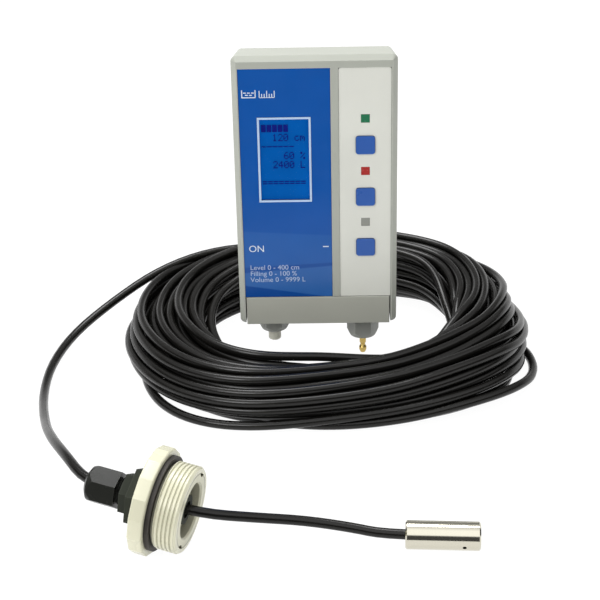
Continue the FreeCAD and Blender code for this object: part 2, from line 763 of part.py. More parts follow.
# Terminal block on the floor, with a row of screw wells
terminal_case = box("terminal_case", *from_datum("-terminal_width / 2", "terminal_y", "rear_wall"),
                    "terminal_width", "terminal_thickness", "terminal_height")
ways = int(number("terminal_ways"))
wells = [rod(f"terminal_well_{way}",
             *from_datum(f"terminal_width * ({way} + 0.5) / terminal_ways - terminal_width / 2",
                         "terminal_y + terminal_thickness / 2",
                         "rear_wall + terminal_height - terminal_hole_depth"),
             "terminal_hole", "terminal_hole_depth") for way in range(ways)]
nodes.append(less("terminal_block", terminal_case, *wells))


def gland(side, name, drop, mouth):
    """Body and capped nut of one gland in the floor; the nut's end lies at the given drop."""
    spot = (f"indicator_x + {side} * {gland_x}", "indicator_y + gland_y", "indicator_lift")
    body = new_body(f"{name}_gland_body", *spot)
    collar = sketch_on(body, "XY", "-gland_collar")
    polygon(collar, "gland_collar_flats", 6)
    pad(body, collar, "gland_collar")
    upright(body, [("0", "0"), ("gland_thread / 2", "0"), ("gland_thread / 2", "gland_inner_rise"),
                   ("0", "gland_inner_rise")])
    upright(body, [("0", "-gland_collar"), ("0", "-gland_collar - gland_neck"),
                   ("gland_neck_diameter / 2", "-gland_collar - gland_neck"),
                   ("gland_neck_diameter / 2", "-gland_collar")])
    through = sketch_on(body, "XY", "gland_inner_rise")
    circle(through, "0", "0", "gland_bore")
    pocket(body, through, "gland_inner_rise + gland_collar + gland_neck")

    nut = new_body(f"{name}_gland_nut", *spot)
    hexagon = sketch_on(nut, "XY", f"-{drop}")
    polygon(hexagon, "gland_nut_flats", 6)
    pad(nut, hexagon, "gland_nut_length")
    upright(nut, [("gland_nut_end / 2", f"-{drop}"), ("gland_nut_flats", f"-{drop}"),
                  ("gland_nut_flats", f"gland_nut_dome - {drop}"),
                  ("gland_nut_shoulder / 2", f"gland_nut_dome - {drop}"),
                  ("gland_nut_end / 6 + gland_nut_shoulder / 3", f"gland_nut_dome / 3 - {drop}")], cut=True)
    inner = "gland_neck_diameter / 2 + gland_clearance"
    upright(nut, [("0", f"gland_nut_wall - {drop}"), (inner, f"gland_nut_wall - {drop}"),
                  (inner, f"gland_nut_length - {drop}"), ("0", f"gland_nut_length - {drop}")], cut=True)
    hole = sketch_on(nut, "XY", f"gland_nut_wall - {drop}")
    circle(hole, "0", "0", mouth)
    pocket(nut, hole, "gland_nut_wall")
    return spot


def gland_seal(spot, label, drop, bore):
    """Rubber ring between a gland's neck and the end wall of its nut."""
    low = f"(indicator_lift + gland_nut_wall - {drop})"
    high = "(indicator_lift - gland_collar - gland_neck)"
    ring = rod(f"{label}_ring", *spot[:2], low, "gland_neck_diameter", f"{high} - {low}")
    hole = rod(f"{label}_hole", *spot[:2], low, bore, f"{high} - {low}")
    return less(label, ring, hole)


plug_mouth = "plug_diameter + 2 * gland_clearance"
nipple_mouth = "nipple_barrel + 2 * gland_clearance"
left_spot = gland(-1, "left", "left_nut_drop", plug_mouth)
right_spot = gland(1, "right", "right_nut_drop", nipple_mouth)
group("gland_seals", [gland_seal(left_spot, "left_seal", "left_nut_drop", plug_mouth),
                      gland_seal(right_spot, "right_seal", "right_nut_drop", nipple_mouth)])

locknuts = []
for index, spot in enumerate((left_spot, right_spot)):
    prism = doc.addObject("Part::Prism", f"locknut_prism_{index}")
    prism.Polygon = 6
    bind(prism, "Circumradius", f"locknut_flats * {0.5 / math.cos(math.pi / 6):.9f}")
    bind(prism, "Height", "locknut_thickness")
    place(prism, *spot[:2], "indicator_lift + rear_wall")
    thread = rod(f"locknut_thread_{index}", *spot[:2], "indicator_lift + rear_wall",
                 "gland_thread + 2 * gland_clearance", "locknut_thickness")
    locknuts.append(less(f"locknut_{index}", prism, thread))
group("gland_locknuts", locknuts)

# Blanking plug in the left gland
stopper = new_body("blanking_plug", *left_spot)
upright(stopper, [("0", "-plug_drop"), ("plug_diameter / 2", "-plug_drop"),
                  ("plug_diameter / 2", "-gland_collar"), ("0", "-gland_collar")])
dressed(stopper, "Fillet", "plug_edge", lambda edge: edge.BoundBox.ZMax < SLACK - number("plug_drop"))

# Brass hose nipple in the right gland: flange inside, barrel, waist, barb and tapered tip on the table
nipple = new_body("hose_nipple", *right_spot)
tip = "indicator_lift"
exposed = f"({tip} - right_nut_drop)"
upright(nipple, [
    ("nipple_bore / 2", f"-{tip}"), ("nipple_tip / 2", f"-{tip}"),
    ("nipple_barb / 2", f"0.14 * {exposed} - {tip}"), ("nipple_barb / 2", f"0.30 * {exposed} - {tip}"),
    ("nipple_waist / 2", f"0.42 * {exposed} - {tip}"), ("nipple_waist / 2", f"0.50 * {exposed} - {tip}"),
    ("nipple_barrel / 2", f"0.58 * {exposed} - {tip}"), ("nipple_barrel / 2", "-gland_collar - gland_neck"),
    ("nipple_flange / 2", "-gland_collar - gland_neck"), ("nipple_flange / 2", "-gland_collar"),
    ("nipple_barrel / 2", "-gland_collar"), ("nipple_barrel / 2", "nipple_rise"),
    ("nipple_bore / 2", "nipple_rise")])

BEND_SHARE = 0.45


def route(points):
    """Path of straight runs joined by tangent arcs, each as large as its two runs allow."""
    edges = []
    radii = []
    start = points[0]
    for before, corner, after in zip(points, points[1:], points[2:]):
        inward = before - corner
        outward = after - corner
        trim = BEND_SHARE * min(inward.Length, outward.Length)
        half_turn = (math.pi - inward.getAngle(outward)) / 2
        radius = trim / math.tan(half_turn)
        first = corner + inward.normalize() * trim
        last = corner + outward.normalize() * trim
        bisector = (inward + outward).normalize()
        middle = corner + bisector * (radius / math.cos(half_turn) - radius)
        edges.append(Part.LineSegment(start, first).toShape())
        edges.append(Part.Arc(first, middle, last).toShape())
        radii.append(round(radius, 1))
        start = last
    edges.append(Part.LineSegment(start, points[-1]).toShape())
    return Part.Wire(edges), radii


def tube(label, points, diameter):
    """Plain tube along a route, with its volume compared with section times length."""
    path, radii = route(points)
    direction = (points[1] - points[0]).normalize()
    section = Part.Wire(Part.makeCircle(diameter / 2, points[0], direction))
    shape = path.makePipeShell([section], True, True)
    expected = math.pi * diameter ** 2 / 4 * path.Length
    if abs(shape.Volume - expected) > 0.01 * expected:
        raise ValueError(f"{label} has volume {shape.Volume:.0f}, not {expected:.0f}")
    print(f"{label}: length {path.Length:.0f}, radii {radii}")
    feature = doc.addObject("Part::Feature", label)
    feature.Shape = shape
    return feature


def point(x, y, z):
    """Place given as expressions, as a vector."""
    return Vector(number(x), number(y), number(z))


# Inner air hose: from the nipple's inner end up and back to the pump's port
CLIMB_SHARE = 0.15
nipple_top = point(*right_spot[:2], "indicator_lift + nipple_rise")
pump_port = point(*from_datum(gland_x, pump_y, "pump_z - port_length"))
climb = Vector(0, 0, CLIMB_SHARE * (pump_port.z - nipple_top.z))
nodes.append(tube("inner_hose", [nipple_top, nipple_top + climb, pump_port - climb, pump_port],
                  number("inner_hose_diameter")))

# Tank screw fitting: faceted flange, threaded sleeve, undercut for the seal and a web that holds the gland
flange_lift = "flange_flats / 2 * cos(fitting_dip) - flange_edge * sin(fitting_dip)"


def in_fitting(label):
    """Body whose long axis is the fitting's, which leans on its flange towards the threaded end."""
    return new_body(label, "fitting_x", "fitting_y", flange_lift, "fitting_turn", "fitting_dip")


web_face = "(web_thickness - flange_thickness)"
plug = in_fitting("tank_plug")
flange = sketch_on(plug, "YZ", "-flange_thickness")
polygon(flange, "flange_flats", 16)
pad(plug, flange, "flange_thickness")
dressed(plug, "Chamfer", "flange_edge", lambda edge: edge.BoundBox.XLength < SLACK)
lying(plug, [("0", "0"), ("0", "undercut_diameter / 2"), ("undercut_length", "undercut_diameter / 2"),
             ("undercut_length", "thread_diameter / 2"),
             ("thread_length - thread_chamfer", "thread_diameter / 2"),
             ("thread_length", "thread_diameter / 2 - thread_chamfer"), ("thread_length", "0")])
bore = sketch_on(plug, "YZ", "thread_length")
circle(bore, "0", "0", "insert_diameter + 2 * insert_clearance")
pocket(plug, bore, f"thread_length - {web_face}")
gland_hole = sketch_on(plug, "YZ", web_face)
circle(gland_hole, "0", "0", "hose_gland_thread + 2 * hose_gland_clearance")
pocket(plug, gland_hole, "web_thickness")

# Insert ring in the threaded sleeve, with two crescent notches in its rim
NOTCH_ANGLES = (50, 230)
insert = in_fitting("plug_insert")
lying(insert, [(web_face, "insert_step_bore / 2"), (web_face, "insert_diameter / 2"),
               ("thread_length", "insert_diameter / 2"),
               ("thread_length", "insert_bore / 2 + insert_chamfer"),
               ("thread_length - insert_chamfer", "insert_bore / 2"),
               ("thread_length - insert_step_depth", "insert_bore / 2"),
               ("thread_length - insert_step_depth", "insert_step_bore / 2")])
notches = sketch_on(insert, "YZ", "thread_length")
for angle in NOTCH_ANGLES:
    reach = "(insert_diameter / 2 + notch_diameter / 2 - notch_bite)"
    circle(notches, f"{reach} * {math.cos(math.radians(angle)):.6f}",
           f"{reach} * {math.sin(math.radians(angle)):.6f}", "notch_diameter")
pocket(insert, notches, "notch_depth")

# Flat rubber seal in the undercut behind the flange
seal = in_fitting("flange_seal")
lying(seal, [("0", "undercut_diameter / 2 + seal_clearance"), ("0", "seal_diameter / 2"),
             ("seal_thickness", "seal_diameter / 2"),
             ("seal_thickness", "undercut_diameter / 2 + seal_clearance")])

# Hose gland: hexagon body through the web, lock nut inside, rubber grip and capped nut outside
gland_base = "-flange_thickness"
hex_face = "(-flange_thickness - hose_gland_flange)"
neck_face = f"({hex_face} - hose_gland_hex)"
neck_end = f"({neck_face} - hose_gland_neck)"
HEXAGON_TURN = 30
DOME_TURN = 19
holder = in_fitting("hose_gland_body")
wide = sketch_on(holder, "YZ", hex_face)
polygon(wide, "hose_gland_flats", 6, HEXAGON_TURN)
pad(holder, wide, "hose_gland_flange")
narrow = sketch_on(holder, "YZ", neck_face)
polygon(narrow, "hose_gland_hex_flats", 6, HEXAGON_TURN)
pad(holder, narrow, "hose_gland_hex")
lying(holder, [(neck_end, "0"), (neck_end, "hose_gland_neck_diameter / 2"),
               (neck_face, "hose_gland_neck_diameter / 2"), (neck_face, "0")])
lying(holder, [(gland_base, "0"), (gland_base, "hose_gland_thread / 2"),
               (f"{web_face} + hose_gland_tail", "hose_gland_thread / 2"),
               (f"{web_face} + hose_gland_tail", "0")])
through = sketch_on(holder, "YZ", f"{web_face} + hose_gland_tail")
circle(through, "0", "0", "hose_gland_bore")
pocket(holder, through, f"{web_face} + hose_gland_tail - {neck_end}")

lock = in_fitting("hose_gland_locknut")
lock_hexagon = sketch_on(lock, "YZ", web_face)
polygon(lock_hexagon, "hose_locknut_flats", 6)
circle(lock_hexagon, "0", "0", "hose_gland_thread + 2 * hose_gland_clearance")
pad(lock, lock_hexagon, "hose_locknut_thickness")

dome_face = f"({neck_face} - dome_gap)"
dome_tip = f"({dome_face} - dome_length)"
dome = in_fitting("hose_gland_nut")
dome_hexagon = sketch_on(dome, "YZ", dome_tip)
polygon(dome_hexagon, "dome_flats", 6, DOME_TURN)
pad(dome, dome_hexagon, "dome_length")
lying(dome, [(dome_tip, "dome_end / 2"),
             (f"{dome_tip} + dome_round / 3", "dome_end / 6 + dome_shoulder / 3"),
             (f"{dome_tip} + dome_round", "dome_shoulder / 2"),
             (f"{dome_tip} + dome_round", "dome_flats"), (dome_tip, "dome_flats")], cut=True)
dome_inner = "hose_gland_neck_diameter / 2 + dome_bore_clearance"
lying(dome, [(f"{dome_tip} + dome_wall", "0"), (f"{dome_tip} + dome_wall", dome_inner),
             (dome_face, dome_inner), (dome_face, "0")], cut=True)
mouth = sketch_on(dome, "YZ", f"{dome_tip} + dome_wall")
circle(mouth, "0", "0", "dome_mouth")
pocket(dome, mouth, "dome_wall")

grip = in_fitting("hose_grip")
lying(grip, [(f"{dome_tip} + dome_wall", "dome_mouth / 2"),
             (f"{dome_tip} + dome_wall", "hose_gland_neck_diameter / 2"),
             (neck_end, "hose_gland_neck_diameter / 2"), (neck_end, "hose_gland_bore / 2"),
             (f"{neck_end} + hose_diameter", "hose_gland_bore / 2 - grip_clearance"),
             (f"{neck_end} + hose_diameter", "hose_diameter / 2 + grip_clearance"),
             (neck_end, "hose_diameter / 2 + grip_clearance")])

# Steel probe: turned weight with a hose socket, an air chamber, a bleed hole and a pressed end cap


def in_probe(label):
    """Body whose long axis is the probe's, from the hose end to the free end."""
    return new_body(label, "probe_x", "probe_y", "probe_diameter / 2", "probe_turn")


chamber_start = "(probe_socket + probe_web)"
chamber_end = "(probe_length - probe_cap_thickness)"
steel = in_probe("probe_body")
lying(steel, [("0", "0"), ("0", "probe_diameter / 2 - probe_edge"), ("probe_edge", "probe_diameter / 2"),
              ("probe_length - probe_edge", "probe_diameter / 2"),
              ("probe_length", "probe_diameter / 2 - probe_edge"), ("probe_length", "0")])
socket = sketch_on(steel, "YZ")
circle(socket, "0", "0", "hose_diameter + 2 * probe_socket_clearance")
pocket(steel, socket, "probe_socket", reverse=True)
chamber = sketch_on(steel, "YZ", "probe_length")
circle(chamber, "0", "0", "probe_chamber")
pocket(steel, chamber, f"probe_length - {chamber_start}")
passage = sketch_on(steel, "YZ", chamber_start)
circle(passage, "0", "0", "nipple_bore")
pocket(steel, passage, "probe_web")
bleed = sketch_on(steel, "XY")
bleed.AttachmentOffset = Placement(Vector(), Rotation(Vector(1, 0, 0), number("probe_hole_turn")))
bind(bleed, "AttachmentOffset.Rotation.Angle", "probe_hole_turn")
circle(bleed, "probe_length - probe_hole_inset", "0", "probe_hole")
pocket(steel, bleed, "probe_diameter", reverse=True)

cap = in_probe("probe_cap")
disc = sketch_on(cap, "YZ", chamber_end)
circle(disc, "0", "0", "probe_chamber - 2 * probe_cap_clearance")
pad(cap, disc, "probe_cap_thickness")

# Air hose from the probe through the gland to the coil, and the coil's outer shape
HOSE_ROUTE = [
    (75.5, -118.1, 7.8),
    (53.5, -116.8, 7.8),
    (38.0, -112.8, 9.3),
    (12.0, -110.2, 12.5),
    (-14.5, -114.5, 17.6),
    (-42.9, -121.9, 25.5),
    (-109.4, -102.2, 35.3),
    (-122.0, -78.6, 36.0),
    (-133.2, -45.6, 27.0),
    (-144.5, -5.5, 13.0),
    (-154.5, 43.6, 3.8),
    (-155.5, 85.6, 3.8),
    (-145.5, 125.6, 6.5),
    (-121.0, 153.0, 17.0),
    (-93.0, 176.0, 28.0),
    (-62.0, 197.0, 32.0),
    (-28.0, 209.0, 31.5),
]
nodes.append(tube("hose_run", [Vector(*stop) for stop in HOSE_ROUTE], number("hose_diameter")))

COIL_ROUND_SHARE = 0.4
coil = new_body("hose_coil", "coil_x", "coil_y", "0")
ring = sketch_on(coil, "XY")
ellipse(ring, "coil_length", "coil_breadth")
ellipse(ring, "coil_length - 2 * coil_side_band", "coil_breadth - 2 * coil_front_band")
pad(coil, ring, "coil_height")
coil_round = f"{COIL_ROUND_SHARE} * min(coil_height; coil_front_band)"
dressed(coil, "Fillet", coil_round, lambda edge: edge.BoundBox.ZLength < SLACK)

doc.recompute()
faults = [item.Label for item in doc.Objects if "Invalid" in item.State or "Error" in item.State]
faults += [node.Label for node in nodes if node.Shape.isNull() or not node.Shape.isValid()]
if faults:
    raise ValueError(f"these did not build: {sorted(set(faults))}")

os.makedirs("parts", exist_ok=True)
for node in nodes:
    node.Shape.exportStep(f"parts/{node.Label}.step")
    reach = node.Shape.BoundBox
    print(f"{node.Label}: solids {len(node.Shape.Solids)}, volume {node.Shape.Volume:.0f}, "
          f"x {reach.XMin:.1f}..{reach.XMax:.1f}, y {reach.YMin:.1f}..{reach.YMax:.1f}, "
          f"z {reach.ZMin:.1f}..{reach.ZMax:.1f}")
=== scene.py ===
"""Tank level gauge: an indicator for the wall, a coil of air hose, a tank screw fitting and a probe."""

import math

import bmesh
import bpy
import numpy as np
from mathutils import Matrix, Vector


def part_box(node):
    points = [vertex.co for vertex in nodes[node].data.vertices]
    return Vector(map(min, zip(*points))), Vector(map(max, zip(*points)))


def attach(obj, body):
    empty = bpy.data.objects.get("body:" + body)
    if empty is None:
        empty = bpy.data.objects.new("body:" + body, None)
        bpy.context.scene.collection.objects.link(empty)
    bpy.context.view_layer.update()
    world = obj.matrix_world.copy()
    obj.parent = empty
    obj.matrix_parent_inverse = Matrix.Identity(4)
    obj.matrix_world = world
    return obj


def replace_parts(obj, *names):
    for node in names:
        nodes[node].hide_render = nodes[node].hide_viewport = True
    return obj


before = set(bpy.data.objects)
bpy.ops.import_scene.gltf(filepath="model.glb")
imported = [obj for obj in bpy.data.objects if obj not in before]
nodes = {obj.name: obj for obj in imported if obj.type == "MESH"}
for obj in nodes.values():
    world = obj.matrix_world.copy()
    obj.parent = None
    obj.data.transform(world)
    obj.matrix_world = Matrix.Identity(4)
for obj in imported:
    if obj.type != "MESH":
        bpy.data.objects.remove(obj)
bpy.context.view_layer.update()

# Rear housing: a tray moulded in light grey ABS, with a floor for the glands, wells for four screws
# and a keyhole for the wall. The skin has a fine spark texture, a little paler where edges are rubbed.


def paint(red, green, blue):
    """Colour as it looks on a screen, 0 to 255, as the shader's own values."""
    shares = [channel / 255 for channel in (red, green, blue)]
    linear = [share / 12.92 if share < 0.04045 else ((share + 0.055) / 1.055) ** 2.4 for share in shares]
    return linear + [1.0]


def put(tree, kind, inputs=(), **settings):
    """Node in a tree. An input is a plain value or another node's socket."""
    made = tree.nodes.new(kind)
    for name, value in settings.items():
        setattr(made, name, value)
    for name, value in dict(inputs).items():
        if isinstance(value, bpy.types.NodeSocket):
            tree.links.new(value, made.inputs[name])
        else:
            made.inputs[name].default_value = value
    return made


def shader_group(name, inputs, outputs):
    """Empty shader group with named sockets, and its two end nodes."""
    tree = bpy.data.node_groups.new(name, "ShaderNodeTree")
    for label, kind in inputs:
        tree.interface.new_socket(label, in_out="INPUT", socket_type=f"NodeSocket{kind}")
    for label, kind in outputs:
        tree.interface.new_socket(label, in_out="OUTPUT", socket_type=f"NodeSocket{kind}")
    return tree, tree.nodes.new("NodeGroupInput"), tree.nodes.new("NodeGroupOutput")


def speckle(tree, scale, detail, low, high):
    """Noise over the piece, spread from low to high."""
    coords = put(tree, "ShaderNodeTexCoord")
    cloud = put(tree, "ShaderNodeTexNoise", {"Vector": coords.outputs["Object"], "Scale": scale,
                                             "Detail": detail})
    return put(tree, "ShaderNodeMapRange", {"Value": cloud.outputs["Fac"], "From Min": 0.3, "From Max": 0.7,
                                            "To Min": low, "To Max": high}).outputs["Result"]


def shaded(tree, colour, value):
    """Colour made lighter or darker by a value about 1."""
    return put(tree, "ShaderNodeHueSaturation", {"Color": colour, "Value": value}).outputs["Color"]


# Rubbed edges: moulded plastic that is handled turns paler along its edges. The mask shows where
# the surface turns within a short reach, broken up in patches.
edge_wear, wear_in, wear_out = shader_group("edge_wear", [("Reach", "Float")], [("Mask", "Float")])
round_normal = put(edge_wear, "ShaderNodeBevel", {"Radius": wear_in.outputs["Reach"]}, samples=6)
flat_normal = put(edge_wear, "ShaderNodeNewGeometry")
turned = put(edge_wear, "ShaderNodeVectorMath",
             {0: round_normal.outputs["Normal"], 1: flat_normal.outputs["Normal"]}, operation="DOT_PRODUCT")
turn = put(edge_wear, "ShaderNodeMapRange", {"Value": turned.outputs["Value"], "From Min": 0.995,
                                             "From Max": 0.86, "To Min": 0.0, "To Max": 1.0})
patches = speckle(edge_wear, 160, 3, 0.35, 1.0)
patchy = put(edge_wear, "ShaderNodeMath", {0: turn.outputs["Result"], 1: patches}, operation="MULTIPLY")
edge_wear.links.new(patchy.outputs[0], wear_out.inputs["Mask"])

# Moulded skin: the spark-eroded texture and slightly cloudy colour of one moulded plastic, with its rubbed
# edges and with painted shade darkening its crevices and recesses.
moulded_skin, skin_in, skin_out = shader_group(
    "moulded_skin",
    [("Colour", "Color"), ("Rubbed colour", "Color"), ("Grain", "Float"), ("Roughness", "Float"),
     ("Reach", "Float"), ("Crevice", "Float")],
    [("Colour", "Color"), ("Roughness", "Float"), ("Height", "Float")])
wear = put(moulded_skin, "ShaderNodeGroup", {}, node_tree=edge_wear)
moulded_skin.links.new(skin_in.outputs["Reach"], wear.inputs["Reach"])
cloudy = shaded(moulded_skin, skin_in.outputs["Colour"], speckle(moulded_skin, 22, 4, 0.965, 1.03))
rubbed = put(moulded_skin, "ShaderNodeMixRGB", {"Fac": wear.outputs["Mask"], "Color1": cloudy,
                                                "Color2": skin_in.outputs["Rubbed colour"]})
# Painted shade: ambient occlusion within the crevice reach darkens the colour, down to three tenths where a
# spot is most enclosed.
open_sky = put(moulded_skin, "ShaderNodeAmbientOcclusion", {"Distance": skin_in.outputs["Crevice"]},
               samples=5)
shade = put(moulded_skin, "ShaderNodeMapRange", {"Value": open_sky.outputs["AO"], "From Min": 0.2,
                                                 "From Max": 0.85, "To Min": 0.3, "To Max": 1.0})
crevice_shaded_colour = shaded(moulded_skin, rubbed.outputs["Color"], shade.outputs["Result"])
moulded_skin.links.new(crevice_shaded_colour, skin_out.inputs["Colour"])
grain = speckle(moulded_skin, skin_in.outputs["Grain"], 2, 0.0, 1.0)
moulded_skin.links.new(grain, skin_out.inputs["Height"])
satin = put(moulded_skin, "ShaderNodeMath", {0: speckle(moulded_skin, 60, 3, -0.05, 0.05),
                                             1: skin_in.outputs["Roughness"]}, operation="ADD")
moulded_skin.links.new(satin.outputs[0], skin_out.inputs["Roughness"])


def moulded(name, colour, roughness=0.45, grain=2600, depth=0.00004, rubbed=None, reach=0.0008,
            crevice=0.002, gloss=0.5):
    """Plastic with its own colour, gloss and grain; lengths in metres."""
    material = bpy.data.materials.new(name)
    material.use_nodes = True
    tree = material.node_tree
    shader = tree.nodes["Principled BSDF"]
    shader.inputs["Specular IOR Level"].default_value = gloss
    skin = put(tree, "ShaderNodeGroup", {}, node_tree=moulded_skin)
    pale = rubbed or [min(255, channel + 22) for channel in colour]
    for label, value in (("Colour", paint(*colour)), ("Rubbed colour", paint(*pale)), ("Grain", grain),
                         ("Roughness", roughness), ("Reach", reach), ("Crevice", crevice)):
        skin.inputs[label].default_value = value
    tree.links.new(skin.outputs["Colour"], shader.inputs["Base Color"])
    tree.links.new(skin.outputs["Roughness"], shader.inputs["Roughness"])
    relief = put(tree, "ShaderNodeBump", {"Height": skin.outputs["Height"], "Strength": 0.5,
                                          "Distance": depth})
    tree.links.new(relief.outputs["Normal"], shader.inputs["Normal"])
    return material


def dress(material, *names):
    """Give solids of the frame their finish."""
    for name in names:
        for place in nodes[name].material_slots:
            place.material = material


dress(moulded("rear_abs", (196, 198, 190), roughness=0.5), "rear_housing")

# Front hood and terminal cover: the bevelled grey shell round the panels and the cap over the wires,
# moulded in a darker grey than the rear. The hood's rim is polished by handling.
dress(moulded("hood_abs", (182, 185, 175), roughness=0.42), "front_hood")
dress(moulded("cover_abs", (184, 185, 174), roughness=0.45), "terminal_cover")

# Glands under the floor: grey polyamide bodies and nuts on rubber rings. The left one is closed with a
# cream plug, the right one holds the brass nipple that the hose is pushed on.
gland_grey = moulded("gland_polyamide", (156, 158, 152), roughness=0.38, grain=1500)
dress(gland_grey, "left_gland_body", "left_gland_nut", "right_gland_body", "right_gland_nut",
      "gland_locknuts")
rubber = moulded("seal_rubber", (54, 50, 46), roughness=0.62, grain=3800, depth=0.00006)
dress(rubber, "gland_seals", "hose_grip", "flange_seal")
dress(moulded("plug_polythene", (221, 220, 205), roughness=0.35), "blanking_plug")


ROUND_SCALE = 8.0


def metal(name, colour, roughness, lathe_scale, along):
    """Turned metal: fine tool marks round the axis that runs along x, y or z."""
    material = bpy.data.materials.new(name)
    material.use_nodes = True
    tree = material.node_tree
    shader = tree.nodes["Principled BSDF"]
    shader.inputs["Metallic"].default_value = 1.0
    coords = put(tree, "ShaderNodeTexCoord")
    squeeze = [ROUND_SCALE] * 3
    squeeze["xyz".index(along)] = lathe_scale
    stretched = put(tree, "ShaderNodeMapping", {"Vector": coords.outputs["Object"], "Scale": squeeze})
    marks = put(tree, "ShaderNodeTexNoise", {"Vector": stretched.outputs["Vector"], "Scale": 1.0,
                                             "Detail": 2.0})
    tint = put(tree, "ShaderNodeMapRange", {"Value": marks.outputs["Fac"], "From Min": 0.3, "From Max": 0.7,
                                            "To Min": 0.92, "To Max": 1.05})
    tree.links.new(shaded(tree, paint(*colour), tint.outputs["Result"]), shader.inputs["Base Color"])
    gloss = put(tree, "ShaderNodeMapRange", {"Value": marks.outputs["Fac"], "From Min": 0.3,
                                             "From Max": 0.7, "To Min": roughness * 0.75,
                                             "To Max": roughness * 1.3})
    tree.links.new(gloss.outputs["Result"], shader.inputs["Roughness"])
    relief = put(tree, "ShaderNodeBump", {"Height": marks.outputs["Fac"], "Strength": 0.25,
                                          "Distance": 0.00002})
    tree.links.new(relief.outputs["Normal"], shader.inputs["Normal"])
    return material


dress(metal("brass", (190, 165, 98), 0.34, 6000, "z"), "hose_nipple")

# Board and inner units, closed in the housing: a green board with its screws, switches and sensor, a
# transformer, an air pump, a terminal block and a short clear hose.
dress(moulded("board_lacquer", (28, 92, 58), roughness=0.3, grain=900), "main_board")
dress(moulded("unit_black", (38, 39, 41), roughness=0.4), "key_switches", "pressure_sensor", "air_pump")
steel = metal("screw_steel", (196, 196, 192), 0.3, 900, "y")
dress(steel, "board_screws", "housing_screws")
dress(metal("core_steel", (140, 136, 130), 0.45, 3000, "z"), "power_transformer")
dress(moulded("terminal_grey", (128, 132, 130), roughness=0.4), "terminal_block")
dress(moulded("clear_hose", (208, 212, 206), roughness=0.25), "inner_hose")

# Blue panel: a glossy printed film on a sheet, deep blue with paler bands low down. The marks on it are
# white ink: a tank sign, a word for the key beside it, a dash and three measuring ranges.
film = bpy.data.materials.new("blue_film")
film.use_nodes = True
film_tree = film.node_tree
film_shader = film_tree.nodes["Principled BSDF"]
film_coords = put(film_tree, "ShaderNodeTexCoord")
film_places = put(film_tree, "ShaderNodeSeparateXYZ", {"Vector": film_coords.outputs["Object"]})


def band(tree, places, level, slope, softness):
    """One below a sloping line across the panel and nought above it; lengths in metres."""
    slant = put(tree, "ShaderNodeMath", {0: places.outputs["X"], 1: slope, 2: level},
                operation="MULTIPLY_ADD")
    rise = put(tree, "ShaderNodeMath", {0: slant.outputs[0], 1: places.outputs["Z"]}, operation="SUBTRACT")
    return put(tree, "ShaderNodeMapRange", {"Value": rise.outputs[0], "From Min": 0.0, "From Max": softness,
                                            "To Min": 0.0, "To Max": 1.0}).outputs["Result"]


film_shader.inputs["Specular IOR Level"].default_value = 0.3
film_colour = paint(19, 87, 172)
film_bands = ((0.0985, -0.06, 0.0012, (34, 96, 176)), (0.0765, 0.05, 0.0008, (18, 80, 162)),
              (0.0735, 0.08, 0.0008, (48, 104, 178)), (0.0585, -0.16, 0.0008, (16, 76, 156)))
for level, slope, softness, colour in film_bands:
    mask = band(film_tree, film_places, level, slope, softness)
    mix = put(film_tree, "ShaderNodeMixRGB", {"Fac": mask, "Color1": film_colour, "Color2": paint(*colour)})
    film_colour = mix.outputs["Color"]
film_tree.links.new(shaded(film_tree, film_colour, speckle(film_tree, 40, 3, 0.97, 1.03)),
                    film_shader.inputs["Base Color"])
film_tree.links.new(speckle(film_tree, 90, 3, 0.14, 0.24), film_shader.inputs["Roughness"])
dress(film, "display_panel")
dress(moulded("key_sheet", (232, 233, 224), roughness=0.4, grain=3600, depth=0.00002), "key_panel")

ink = moulded("white_ink", (226, 236, 246), roughness=0.5, grain=5000, depth=0.00001)
fine_ink = moulded("fine_ink", (186, 204, 232), roughness=0.5, grain=5000, depth=0.00001)
FILM_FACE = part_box("display_panel")[0].y
INK_LIFT = 0.00004
WORD_LEFT, WORD_BASE, WORD_HEIGHT = -0.0232, 0.0856, 0.0062
RANGE_LEFT, RANGE_BASE, RANGE_HEIGHT, RANGE_PITCH = -0.0228, 0.0732, 0.0046, 0.0042


def printed(name, text, left, base, height, material):
    """Word in white ink, standing on the line base from left; metres."""
    curve = bpy.data.curves.new(name, "FONT")
    curve.body = text
    curve.size = height
    holder = bpy.data.objects.new(name, curve)
    bpy.context.collection.objects.link(holder)
    bpy.context.view_layer.update()
    mesh = bpy.data.meshes.new_from_object(holder.evaluated_get(bpy.context.evaluated_depsgraph_get()))
    bpy.data.objects.remove(holder)
    upright = Matrix.Translation((left, FILM_FACE - INK_LIFT, base)) @ Matrix.Rotation(math.pi / 2, 4, "X")
    mesh.transform(upright)
    piece = bpy.data.objects.new(name, mesh)
    bpy.context.collection.objects.link(piece)
    mesh.materials.append(material)
    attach(piece, "gauge")


printed("start_mark", "ON", WORD_LEFT, WORD_BASE, WORD_HEIGHT, ink)
for row, words in enumerate(("Level 0 - 400 cm", "Filling 0 - 100 %", "Volume 0 - 9999 L")):
    printed(f"range_mark_{row}", words, RANGE_LEFT, RANGE_BASE - RANGE_PITCH * row, RANGE_HEIGHT, fine_ink)

